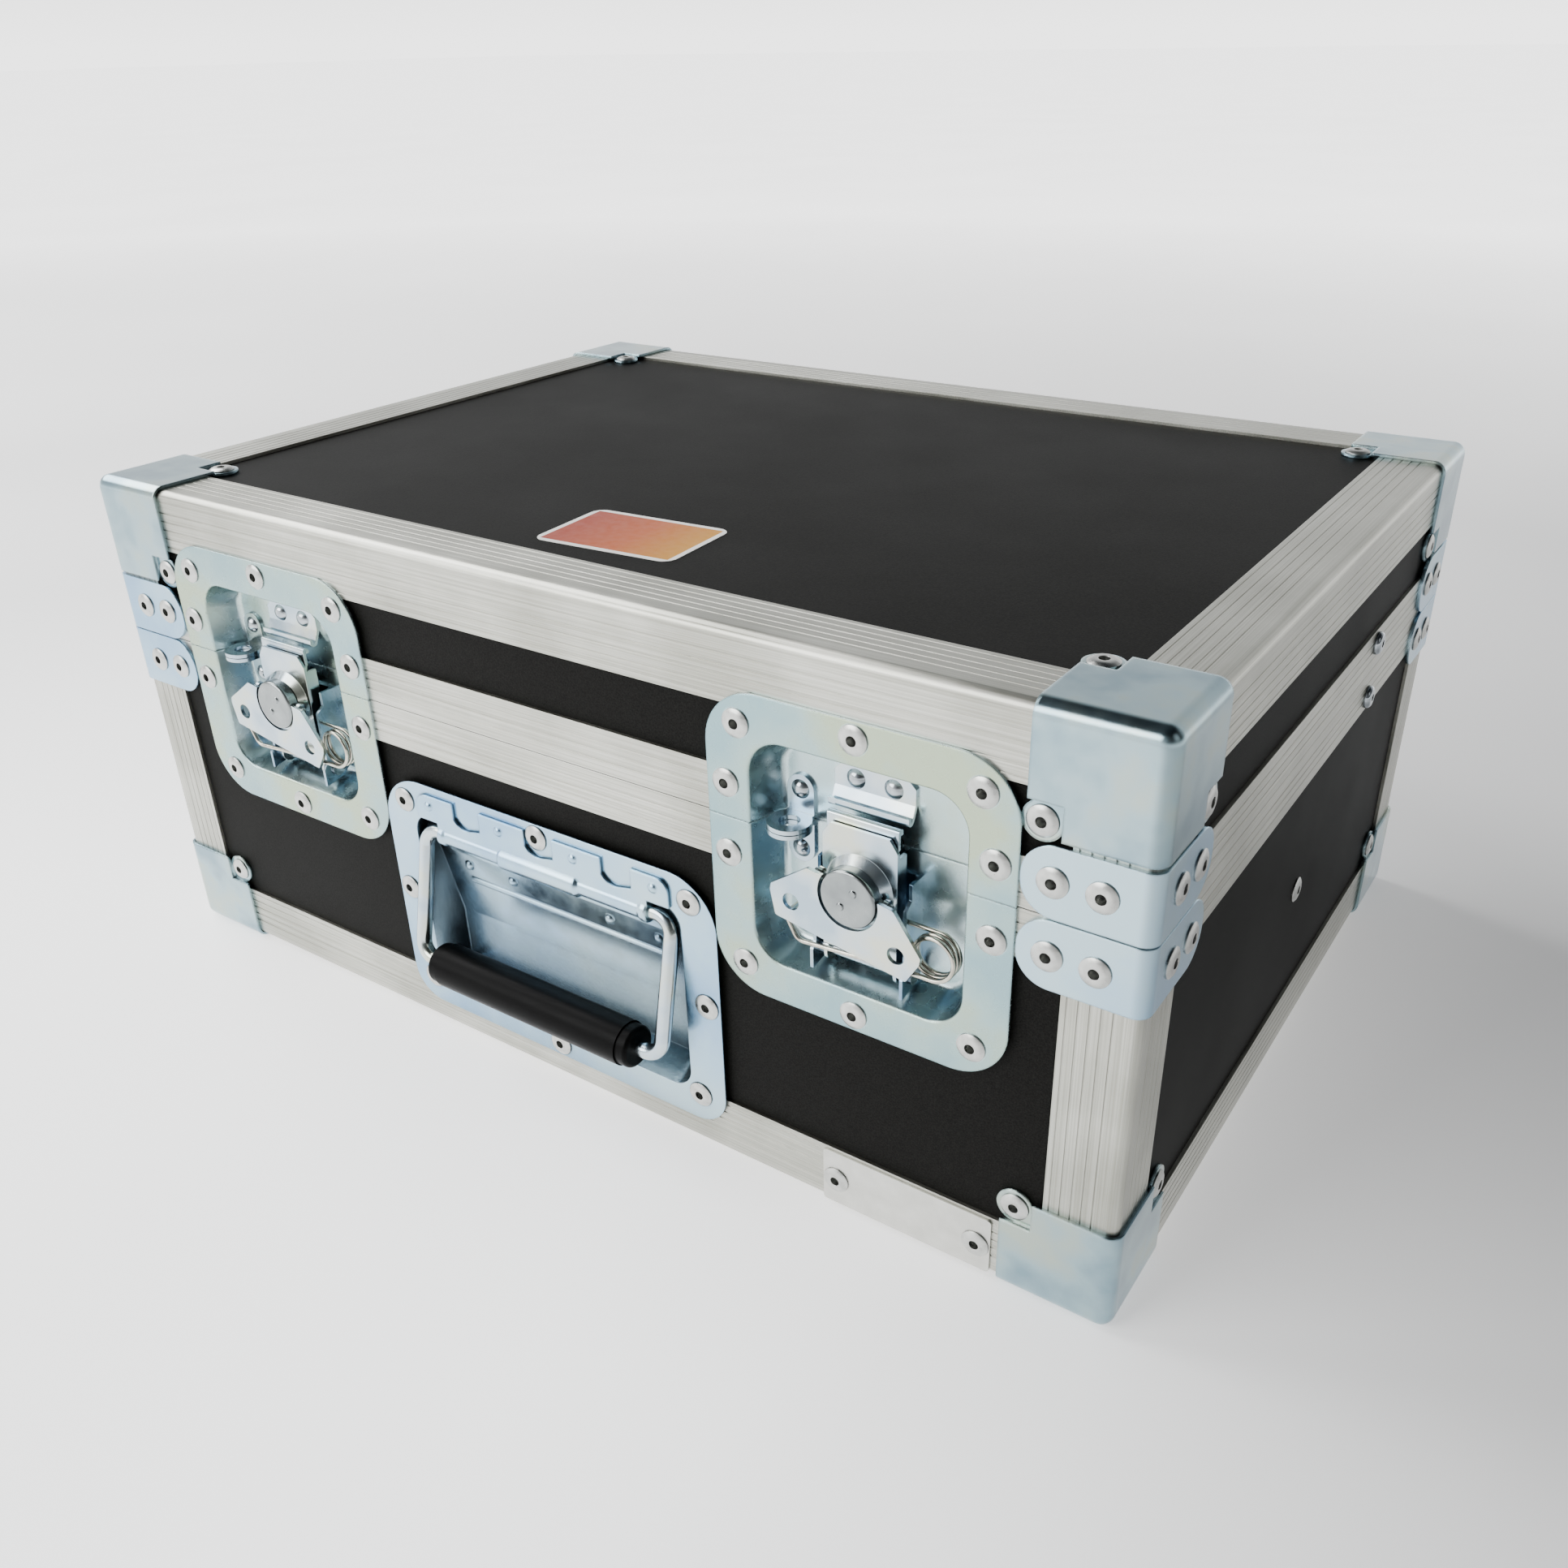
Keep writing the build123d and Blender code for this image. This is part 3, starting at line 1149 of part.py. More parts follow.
def handle_hollow(extra):
    """The space of the handle's pan, or its outside when a wall is added to it."""
    slope_top, slope_foot = HANDLE_SLOPE
    front = -SHEET
    with BuildPart() as hollow:
        with BuildSketch(side_plane(0, HANDLE_Z)):
            with BuildLine():
                Polyline(
                    (front - 2 * extra, HANDLE_MOUTH_TOP + extra),
                    (HANDLE_SHALLOW + extra, HANDLE_MOUTH_TOP - 1 + extra),
                    (HANDLE_SHALLOW + extra, slope_top), (HANDLE_DEEP + extra, slope_foot),
                    (HANDLE_DEEP + extra, HANDLE_MOUTH_FOOT + HANDLE_FLOOR_SETBACK - extra),
                    (front - 2 * extra, HANDLE_MOUTH_FOOT - extra), close=True,
                )
            make_face()
        extrude(amount=HANDLE_MOUTH_HALF + 2 * extra, both=True)
        with BuildSketch(inward_plane(0, HANDLE_Z, front)) as mouth:
            width = 2 * (HANDLE_MOUTH_HALF + extra)
            height = HANDLE_MOUTH_TOP - HANDLE_MOUTH_FOOT + 2 * extra
            rise = (HANDLE_MOUTH_TOP + HANDLE_MOUTH_FOOT) / 2
            with Locations((0, -rise)):
                RectangleRounded(width, height, HANDLE_MOUTH_ROUND + extra)
        extrude(mouth.sketch, amount=HANDLE_DEEP + 3 * SHEET, taper=HANDLE_SIDE_SLOPE, mode=Mode.INTERSECT)
    return hollow.part


def make_handle_dish():
    with BuildPart() as dish:
        with BuildSketch(front_plane(0, HANDLE_Z)) as plate:
            with BuildLine():
                Polyline(
                    (-HANDLE_HALF, HANDLE_FOOT), (-HANDLE_HALF, HANDLE_TOP),
                    (HANDLE_HALF, HANDLE_TOP), (HANDLE_HALF, HANDLE_FOOT), close=True,
                )
            make_face()
            fillet(plate.vertices().group_by(Axis.Y)[-1], HANDLE_TOP_ROUND)
            fillet(plate.vertices().group_by(Axis.Y)[0], HANDLE_FOOT_ROUND)
        extrude(amount=SHEET)
        add(handle_hollow(SHEET))
        add(handle_hollow(0), mode=Mode.SUBTRACT)
        slope_top, slope_foot = HANDLE_SLOPE
        fall = (HANDLE_DEEP - HANDLE_SHALLOW) / (slope_top - slope_foot)
        bead_depth = HANDLE_SHALLOW + (slope_top - HANDLE_BEAD_RISE) * fall
        round_bar(
            (-HANDLE_BEAD_HALF, FRONT_Y + bead_depth + 0.6, HANDLE_Z + HANDLE_BEAD_RISE), OUT_RIGHT,
            2 * HANDLE_BEAD_HALF, 1.6,
        )
        dome_depth = HANDLE_SHALLOW + (slope_top - HANDLE_LOW_DOME_RISE) * fall
        for across in HANDLE_LOW_DOMES:
            with Locations((across, FRONT_Y + dome_depth + 0.9, HANDLE_Z + HANDLE_LOW_DOME_RISE)):
                Sphere(COVER_DOME)
        back = FRONT_Y + HANDLE_DEEP + SHEET
        drill(HANDLE_RIVET_PLACES, 2 * SHEET)
        block((-HANDLE_HALF, back, FLOOR_Z), (HANDLE_HALF, back + 20, SPLIT_Z), mode=Mode.SUBTRACT)
    write(dish, "handle_dish")


def make_handle_cover():
    """The riveted cover over the bail's axis: a plate with three scoops and the rolled tunnel below it."""
    axis = (FRONT_Y + TUNNEL_DEPTH, HANDLE_Z + TUNNEL_RISE)
    with BuildPart() as cover:
        with BuildSketch(front_plane(0, HANDLE_Z, -SHEET)) as plate:
            with BuildLine():
                Polyline(
                    (-COVER_HALF, COVER_END_FOOT), (-COVER_HALF, COVER_TOP), (COVER_HALF, COVER_TOP),
                    (COVER_HALF, COVER_END_FOOT), (TUNNEL_HALF, COVER_END_FOOT), (TUNNEL_HALF, COVER_FOOT),
                    (-TUNNEL_HALF, COVER_FOOT), (-TUNNEL_HALF, COVER_END_FOOT), close=True,
                )
            make_face()
            outer = plate.vertices().filter_by(lambda v: abs(v.X) > COVER_HALF - 1).group_by(Axis.Y)[-1]
            fillet(outer, COVER_ROUND)
            for unit in (-1.5, -0.5, 0.5):
                step = unit * SCOOP_PITCH + SCOOP_STEP
                with BuildLine():
                    Polyline((step, COVER_TOP + 1), (step, SCOOP_FLOOR + 3.5))
                    low = (step + SCOOP_WIDTH / 2, SCOOP_FLOOR)
                    RadiusArc((step, SCOOP_FLOOR + 3.5), low, -SCOOP_WIDTH / 2)
                    Polyline(
                        low, (step + SCOOP_WIDTH, SCOOP_FLOOR + 1.5),
                        (step + SCOOP_WIDTH, COVER_TOP + 1), (step, COVER_TOP + 1),
                    )
                make_face(mode=Mode.SUBTRACT)
        extrude(amount=SHEET)
        with BuildSketch(Plane(origin=(0, *axis), x_dir=OUT_RIGHT, z_dir=OUT_BACK)):
            with BuildLine():
                right = (
                    (TUNNEL_WIDE_HALF, TUNNEL_WIDE_RADIUS), (TUNNEL_WIDE_HALF + 1.5, TUNNEL_RADIUS),
                    (TUNNEL_HALF - 4.0, TUNNEL_RADIUS), (TUNNEL_HALF - 2.5, TUNNEL_RADIUS + 0.6),
                    (TUNNEL_HALF - 0.6, TUNNEL_RADIUS + 0.6), (TUNNEL_HALF, TUNNEL_RADIUS),
                )
                left = tuple((-along, radius) for along, radius in reversed(right))
                Polyline((-TUNNEL_HALF, 0), *left, *right, (TUNNEL_HALF, 0), close=True)
            make_face()
        revolve(axis=Axis((0, *axis), OUT_RIGHT))
        for unit in (-1.5, -0.5, 0.5, 1.5):
            with Locations((unit * SCOOP_PITCH, FRONT_Y - 2 * SHEET + 1.2, HANDLE_Z + COVER_DOME_RISE)):
                Sphere(COVER_DOME)
        behind = (-COVER_HALF, FRONT_Y - SHEET, HANDLE_Z + COVER_FOOT + 2.5)
        block(behind, (COVER_HALF, FRONT_Y + 9, HANDLE_Z + COVER_TOP), mode=Mode.SUBTRACT)
        end = TUNNEL_HALF + 5
        round_bar((-end, *axis), OUT_RIGHT, 2 * end, WIRE + BAIL_RUNNING, mode=Mode.SUBTRACT)
        wide = TUNNEL_WIDE_RADIUS - TUNNEL_WALL
        inner = TUNNEL_WIDE_HALF - 2
        round_bar((-inner, *axis), OUT_RIGHT, 2 * inner, wide, mode=Mode.SUBTRACT)
    write(cover, "handle_hinge_cover")

    with BuildPart() as spring:
        length = TUNNEL_WIDE_HALF - 3
        round_bar((-length, *axis), OUT_RIGHT, 2 * length, wide - 0.1)
        round_bar((-length, *axis), OUT_RIGHT, 2 * length, WIRE + BAIL_RUNNING, mode=Mode.SUBTRACT)
    write(spring, "handle_spring")


def make_bail():
    """The wire bail, hanging at its resting lean, and the grip moulded round its foot."""
    axis = Vector(0, FRONT_Y + TUNNEL_DEPTH, HANDLE_Z + TUNNEL_RISE)
    lean = radians(BAIL_LEAN)
    foot = axis + Vector(0, -sin(lean), -cos(lean)) * BAIL_REACH
    across = Vector(BAIL_HALF, 0, 0)
    inner = Vector(BAIL_END, 0, 0)
    with BuildPart() as bail:
        with BuildLine() as path:
            FilletPolyline(
                axis - inner, axis - across, foot - across, foot + across, axis + across, axis + inner,
                radius=BAIL_BEND,
            )
        wire_path = path.wires()[0]
        with BuildSketch(Plane(origin=wire_path @ 0, z_dir=wire_path % 0)) as section:
            Circle(WIRE)
        sweep(section.sketch, path=wire_path)
    write(bail, "handle_bail")

    start = foot - Vector(GRIP_HALF, 0, 0)
    with BuildPart() as grip:
        round_bar(tuple(start), OUT_RIGHT, 2 * GRIP_HALF, GRIP_RADIUS - GRIP_COLLAR_STEP)
        inset = Vector(GRIP_COLLAR, 0, 0)
        round_bar(tuple(start + inset), OUT_RIGHT, 2 * (GRIP_HALF - GRIP_COLLAR), GRIP_RADIUS)
        ends = grip.faces().filter_by(Axis.X).sort_by(Axis.X)
        fillet([ends[0].edges().sort_by(Axis.X)[0], ends[-1].edges().sort_by(Axis.X)[-1]], GRIP_ROUND)
        round_bar(tuple(start - inset), OUT_RIGHT, 2 * (GRIP_HALF + GRIP_COLLAR), WIRE, mode=Mode.SUBTRACT)
    write(grip, "handle_grip")


# Label plate

def make_label():
    middle_x, middle_z = LABEL_PLACE
    with BuildPart() as label:
        with BuildSketch(front_plane(middle_x, FLOOR_Z + middle_z)):
            RectangleRounded(*LABEL_SIZE, 1.5)
        extrude(amount=LABEL_THICK)
        drill(LABEL_RIVET_PLACES, 2 * LABEL_THICK)
    write(label, "label_plate")


# Hinges

def knuckle_spans(top):
    """The stretches of the hinge's width that one leaf's knuckles fill, from its middle."""
    pitch = HINGE_WIDTH / KNUCKLES
    for index in range(KNUCKLES):
        if (index % 2 == 1) == top:
            start = -HINGE_WIDTH / 2 + index * pitch
            yield start + KNUCKLE_GAP / 2, start + pitch - KNUCKLE_GAP / 2


def make_hinges():
    axis_y = BACK_Y + HINGE_AXIS
    clear = KNUCKLE + 0.5
    for half, top in (("base", False), ("lid", True)):
        sign = 1 if top else -1
        with BuildPart() as leaves:
            for side in SIDES.values():
                x = side * HINGE_OFFSET
                low, high = sorted((SPLIT_Z + sign * clear, SPLIT_Z + sign * HINGE_LEAF))
                near, far = x - HINGE_WIDTH / 2, x + HINGE_WIDTH / 2
                block((near, BACK_Y, low), (far, BACK_Y + HINGE_LEAF_THICK, high))
                for start, end in knuckle_spans(top):
                    low, high = sorted((SPLIT_Z + sign * LID_GAP / 2, SPLIT_Z + sign * clear))
                    block((x + start, BACK_Y, low), (x + end, BACK_Y + HINGE_LEAF_THICK, high))
                    round_bar((x + start, axis_y, SPLIT_Z), OUT_RIGHT, end - start, KNUCKLE)
            for side in SIDES.values():
                start = (side * HINGE_OFFSET - HINGE_WIDTH, axis_y, SPLIT_Z)
                bore = HINGE_PIN + (RUNNING if top else 0)
                round_bar(start, OUT_RIGHT, 2 * HINGE_WIDTH, bore, mode=Mode.SUBTRACT)
            drill(hinge_rivets(top), 2 * HINGE_LEAF_THICK)
        write(leaves, f"{half}_hinge_leaves")

    with BuildPart() as pins:
        for side in SIDES.values():
            start = (side * HINGE_OFFSET - HINGE_WIDTH / 2, axis_y, SPLIT_Z)
            round_bar(start, OUT_RIGHT, HINGE_WIDTH, HINGE_PIN)
    write(pins, "hinge_pins")


# Lid stay

WALL_LAYER = SIDE_X - CLOSURE_FACE
LOWER_LAYER = WALL_LAYER - 3 * STAY_PLAY
UPPER_LAYER = LOWER_LAYER - STAY_THICK - STAY_PLAY
HINGE_POINT = (BACK_Y + HINGE_AXIS, SPLIT_Z)
BASE_PIVOT = (STAY_SCREW_Y, SPLIT_Z - STAY_RISE)
LID_PIVOT = (STAY_SCREW_Y, SPLIT_Z + STAY_RISE)
ELBOW = (BASE_PIVOT[0] + LID_PIVOT[0] - HINGE_POINT[0], BASE_PIVOT[1] + LID_PIVOT[1] - HINGE_POINT[1])


def stay_link(layer, pivot, pivot_bore, elbow_bore):
    """A flat link with round ends, from its pivot to the elbow."""
    length = hypot(ELBOW[0] - pivot[0], ELBOW[1] - pivot[1])
    way = ((ELBOW[0] - pivot[0]) / length, (ELBOW[1] - pivot[1]) / length)
    plane = Plane(origin=(layer, *pivot), x_dir=(0, *way), z_dir=OUT_LEFT)
    with BuildPart() as link:
        with BuildSketch(plane):
            with Locations((length / 2, 0)):
                SlotCenterToCenter(length, STAY_WIDTH)
            Circle(pivot_bore, mode=Mode.SUBTRACT)
            with Locations((length, 0)):
                Circle(elbow_bore, mode=Mode.SUBTRACT)
        extrude(amount=STAY_THICK)
    return link


def stay_screw(rise, link_layer):
    """A screw through the right side, whose inner end is the pivot of a stay link."""
    y, z = STAY_SCREW_Y, SPLIT_Z + rise
    with BuildPart() as screw:
        with BuildSketch(Plane(origin=(SIDE_X, y, z), z_dir=OUT_RIGHT)):
            Circle(SCREW_HEAD)
        extrude(amount=SCREW_HEAD_HEIGHT)
        fillet(screw.faces().sort_by(Axis.X)[-1].edges(), SCREW_HEAD_HEIGHT * 0.8)
        with BuildSketch(Plane(origin=(SIDE_X + SCREW_HEAD_HEIGHT, y, z), z_dir=OUT_LEFT)):
            RegularPolygon(SCREW_DRIVE, 6)
        extrude(amount=1.4, mode=Mode.SUBTRACT)
        inner_end = link_layer - STAY_THICK - STAY_PLAY
        round_bar((SIDE_X, y, z), OUT_LEFT, SIDE_X - inner_end, STAY_PIN)
        round_bar((WALL_LAYER, y, z), OUT_LEFT, WALL_LAYER - link_layer - STAY_PLAY, STAY_COLLAR)
        round_bar((inner_end, y, z), OUT_LEFT, 1.2, STAY_HEAD)
    return screw


def make_stay():
    write(stay_screw(-STAY_RISE, LOWER_LAYER), "stay_base_screw")
    write(stay_screw(STAY_RISE, UPPER_LAYER), "stay_lid_screw")
    upper = stay_link(UPPER_LAYER, LID_PIVOT, STAY_PIN + STAY_OPEN_PLAY, STAY_PIN + RUNNING)
    write(upper, "stay_upper_link")
    with BuildPart() as lower:
        add(stay_link(LOWER_LAYER, BASE_PIVOT, STAY_PIN + RUNNING, STAY_PIN).part)
        outer = LOWER_LAYER + 0.5
        inner = UPPER_LAYER - STAY_THICK - STAY_PLAY
        round_bar((outer, *ELBOW), OUT_LEFT, outer - inner, STAY_PIN)
        round_bar((outer, *ELBOW), OUT_LEFT, outer - LOWER_LAYER, STAY_HEAD)
        round_bar((inner, *ELBOW), OUT_LEFT, 1.0, STAY_HEAD)
    write(lower, "stay_lower_link")


# Lining

def make_lining():
    wall_x = SIDE_X - INNER_FACE - FOAM_GAP
    front = FRONT_Y + FRONT_SETBACK
    back = BACK_Y - INNER_FACE - FOAM_GAP
    floor = FLOOR_Z + BOARD_BACK
    step = floor + FLOOR_FOAM
    top = FLOOR_Z + FOAM_TOP
    divider_y = FRONT_Y + DIVIDER_FROM_FRONT

    flange = INNER_FLANGE + FOAM_GAP
    inner_x = SIDE_X - flange
    inner_front, inner_back = FRONT_Y + flange, BACK_Y - flange
    pocket = BOARD_BACK + RIVET_TAIL_LENGTH + FOAM_GAP
    with BuildPart() as floor_foam:
        block((-wall_x, front, FLOOR_Z + INNER_FACE), (wall_x, back, step))
        block((-inner_x, inner_front, floor), (inner_x, inner_back, step))
        drill([rivet for rivet in ear_rivets(False) if rivet[1] == DOWN], pocket, RIVET_TAIL + FOAM_GAP)
    write(floor_foam, "floor_foam")

    with BuildPart() as wall_foam:
        block((-wall_x, front, step), (wall_x, front + WALL_FOAM, top))
        block((-wall_x, back - WALL_FOAM, step), (wall_x, back, top))
        for side in SIDES.values():
            near, far = sorted((side * wall_x, side * (wall_x - WALL_FOAM)))
            block((near, front + WALL_FOAM, step), (far, divider_y - BOARD, top))
            block((near, divider_y + BRACKET_WING + FOAM_GAP, step), (far, back - WALL_FOAM, top))
    write(wall_foam, "wall_foam")

    side_face = SIDE_X - BOARD_BACK
    with BuildPart() as divider:
        block((-side_face, divider_y - BOARD, step), (side_face, divider_y, FLOOR_Z + DIVIDER_TOP))
        drill(DIVIDER_RIVET_PLACES, EDGE_WALL + BOARD, DOME_SHANK)
    write(divider, "divider_board")

    low = FLOOR_Z + SIDE_RIVET[1] - BRACKET_TALL / 2
    with BuildPart() as brackets:
        for side in SIDES.values():
            wing = side_face - BRACKET_WING
            near, far = sorted((side * wing, side * side_face))
            block((near, divider_y, low), (far, divider_y + EDGE_WALL, low + BRACKET_TALL))
            near, far = sorted((side * (side_face - EDGE_WALL), side * side_face))
            block((near, divider_y, low), (far, divider_y + BRACKET_WING, low + BRACKET_TALL))
        drill(DIVIDER_RIVET_PLACES, EDGE_WALL + BOARD, DOME_SHANK)
        drill(SIDE_RIVET_PLACES, BOARD + EDGE_WALL)
    write(brackets, "divider_brackets")

    with BuildPart() as lid_foam:
        high = TOP_Z - BOARD_BACK
        low = high - LID_FOAM
        block((-wall_x, FRONT_Y + INNER_FACE + FOAM_GAP, low), (wall_x, back, TOP_Z - INNER_FACE))
        block((-inner_x, inner_front, low), (inner_x, inner_back, high))
        drill([rivet for rivet in ear_rivets(True) if rivet[1] == UP], pocket, RIVET_TAIL + FOAM_GAP)
    write(lid_foam, "lid_foam")


make_boards()
make_edges()
make_closures()
make_caps()
make_rivets()
make_dishes()
make_dome_rivets()
make_keepers()
make_eyes()
for latch_name, latch_side in SIDES.items():
    make_latch(latch_name, latch_side * LATCH_OFFSET)
make_pivot_pins()
make_springs()
make_handle_dish()
make_handle_cover()
make_bail()
make_label()
make_hinges()
make_stay()
make_lining()
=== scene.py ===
# %% [markdown]
# # A laptop and printer case
#
# A small flight case: black laminated boards held in aluminium extrusions, with pressed steel corners,
# two recessed butterfly latches and a folding recessed handle. The hard pieces come from the CAD model,
# and each gets a finish here. The foam lining and the sticker on the lid are modelled in this lesson.

# %% Load the frame
import bpy
from math import cos, hypot, pi, radians, sin
from mathutils import Euler, Matrix, Vector


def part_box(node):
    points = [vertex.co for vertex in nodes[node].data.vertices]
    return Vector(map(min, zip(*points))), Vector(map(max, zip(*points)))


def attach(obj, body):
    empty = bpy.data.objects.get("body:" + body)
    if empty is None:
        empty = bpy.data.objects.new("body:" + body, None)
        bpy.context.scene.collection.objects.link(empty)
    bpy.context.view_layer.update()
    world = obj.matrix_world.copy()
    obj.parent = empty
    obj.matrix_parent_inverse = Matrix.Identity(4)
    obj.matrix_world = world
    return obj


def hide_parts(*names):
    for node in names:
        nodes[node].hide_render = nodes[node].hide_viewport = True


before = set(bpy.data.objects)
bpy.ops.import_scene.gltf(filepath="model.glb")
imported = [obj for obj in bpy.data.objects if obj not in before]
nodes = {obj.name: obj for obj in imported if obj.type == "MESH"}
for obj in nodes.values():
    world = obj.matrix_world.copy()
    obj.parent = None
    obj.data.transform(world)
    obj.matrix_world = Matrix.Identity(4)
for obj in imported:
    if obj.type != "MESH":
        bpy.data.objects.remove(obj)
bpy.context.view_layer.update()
MM = 0.001

# %% [markdown]
# ## The camera
#
# The photograph looks down on the front and right of the case from about three quarters of a metre. The
# camera's place and lens were worked out from the case's edges and rivets, so it is set before anything else.
# A camera with no turn looks straight down. This one is tipped up, rolled by a degree and turned to the left.

# %% Set the camera
CAMERA_PLACE = (0.33363, -0.47373, 0.36918)
TIPPED_UP, ROLLED, TURNED_LEFT = radians(61.20218), radians(0.97944), radians(33.77654)
SENSOR_WIDTH = 36.0
FOCAL_LENGTH = 32.345
SHIFT_X, SHIFT_Y = -0.01412, 0.01569
NEAREST = 0.01

camera = bpy.data.objects.new("camera", bpy.data.cameras.new("camera"))
bpy.context.collection.objects.link(camera)
turn = Euler((TIPPED_UP, ROLLED, TURNED_LEFT))
camera.matrix_world = Matrix.LocRotScale(Vector(CAMERA_PLACE), turn, None)
camera.data.sensor_width = SENSOR_WIDTH
camera.data.lens = FOCAL_LENGTH
camera.data.shift_x = SHIFT_X
camera.data.shift_y = SHIFT_Y
camera.data.clip_start = NEAREST
camera.data.dof.use_dof = False
bpy.context.scene.camera = camera
print("camera at", [round(v, 3) for v in camera.matrix_world.translation])

# %% [markdown]
# ## Tools for the finishes
#
# Every finish is a small network of shader nodes. One function turns a colour from its written form into
# the linear light that shaders use, and another adds a node with its settings and its links. The features of
# a noise are about one unit long over its scale, so a real size in millimetres gives the scale.

# %% Define the helpers
# Nearly all values of a noise lie between these two.
NOISE_LOW, NOISE_HIGH = 0.3, 0.7


def linear(hex_colour):
    """A colour such as "c8c8c0" as linear red, green, blue and alpha."""
    channels = [int(hex_colour[i:i + 2], 16) / 255 for i in (0, 2, 4)]
    return (*[c / 12.92 if c <= 0.04045 else ((c + 0.055) / 1.055) ** 2.4 for c in channels], 1.0)


def scale_of(size_mm):
    """The texture scale that draws features of a real size."""
    return 1 / (size_mm * MM)


def add_node(tree, kind, inputs, out=0, stops=(), **settings):
    """Adds a node with its settings and links, and gives back one of its outputs.

    An input, by name or number, is a value or another node's output. The stops of a colour ramp are pairs
    of a place and a colour.
    """
    node = tree.nodes.new(kind)
    for name, value in settings.items():
        setattr(node, name, value)
    for name, value in inputs.items():
        if isinstance(value, bpy.types.NodeSocket):
            tree.links.new(value, node.inputs[name])
        else:
            node.inputs[name].default_value = value
    if stops:
        elements = node.color_ramp.elements
        while len(elements) < len(stops):
            elements.new(0.5)
        for element, (at, colour) in zip(elements, stops):
            element.position = at
            element.color = linear(colour)
    return node.outputs[out]


def new_finish(name, **values):
    """A material with one surface shader, whose unchanging numbers are set on its own sockets."""
    finish = bpy.data.materials.new(name)
    finish.use_nodes = True
    tree = finish.node_tree
    surface = tree.nodes["Principled BSDF"]
    for socket, value in values.items():
        surface.inputs[socket.replace("_", " ")].default_value = value
    place = add_node(tree, "ShaderNodeTexCoord", {}, out="Object")
    return finish, tree, surface, place


def connect(tree, shader, sockets):
    """Links outputs to the sockets of a shader."""
    for name, output in sockets.items():
        tree.links.new(output, shader.inputs[name])


def paint(finish, slot, *names):
    """Gives a finish to CAD nodes."""
    for name in names:
        nodes[name].data.materials.clear()
        nodes[name].data.materials.append(finish)
    print(finish.name, "on", ", ".join(names))


print("helpers ready")

# %% [markdown]
# ## Black boards
#
# The boards are birch plywood faced with a black phenolic film, pressed hot. The press leaves the film matt
# and finely pimpled, so it looks nearly black, with a dull, even sheen and no clear reflection. The grain
# could be modelled as bumps in the mesh, but a bump from a noise is enough for a relief of hundredths of a
# millimetre. A wide noise gives the slight changes of sheen that a large board shows.

# %% Make the black laminate
# The film's pimples are about 0.3 mm across. They are drawn as coarse as they need to be to show.
PIMPLE_MM = 0.55
PIMPLE_HEIGHT = 0.04 * MM
# Hands and cloths dull the film in patches of about this size.
DULLED_MM = 60

laminate, tree, surface, place = new_finish("black_phenolic_film_plywood", IOR=1.55, Specular_IOR_Level=0.035)
grain = add_node(tree, "ShaderNodeTexNoise", {"Vector": place, "Scale": scale_of(PIMPLE_MM), "Detail": 3.0})
sheen = add_node(tree, "ShaderNodeTexNoise", {"Vector": place, "Scale": scale_of(DULLED_MM)})
blacks = ((NOISE_LOW, "0a0a09"), (NOISE_HIGH, "191917"))
between = {"Value": sheen, "From Min": NOISE_LOW, "From Max": NOISE_HIGH, "To Min": 0.5, "To Max": 0.54}
connect(tree, surface, {
    "Base Color": add_node(tree, "ShaderNodeValToRGB", {"Fac": grain}, stops=blacks),
    "Roughness": add_node(tree, "ShaderNodeMapRange", between),
    "Normal": add_node(tree, "ShaderNodeBump", {"Height": grain, "Distance": PIMPLE_HEIGHT, "Strength": 1.0}),
})
walls = [f"{half}_{wall}_panel" for half in ("base", "lid") for wall in ("front", "back", "left", "right")]
paint(laminate, "black_board", "base_bottom_panel", "lid_top_panel", "divider_board", *walls)

# %% [markdown]
# ## Aluminium extrusions
#
# The edges are extruded aluminium, natural and satin. Extrusion draws fine lines along each bar, which spread
# a reflection across the bar and keep it long, so the grain must turn with the bar: along X on the front and
# back bars, along Y on the side bars, and along Z on the uprights. An image of brushed metal would need a
# seam at every corner, so the place of each point says which bar it is on instead.

# %% Define the drawn aluminium
BAR_WIDTH = 25 * MM
base_low, base_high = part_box("base_edge_profiles")
middle_y = (base_low[1] + base_high[1]) / 2
side_reach = (base_high[1] - base_low[1]) / 2 - BAR_WIDTH
# The die lines are about 0.1 mm wide. They are drawn wider, and 160 times as long, so that they show.
LINE_MM = 0.5
LINE_STRETCH = 160
LINE_DEPTH = 0.014 * MM
LINE_TONES = ((0.35, "dadad6"), (0.65, "ffffff"))
# Handling dulls the metal in patches of about this size.
CLOUD_MM = 45
CLOUD_TONES = ((0.35, "afafa6"), (0.65, "ccccc4"))
BAR_EDGE = 0.35 * MM


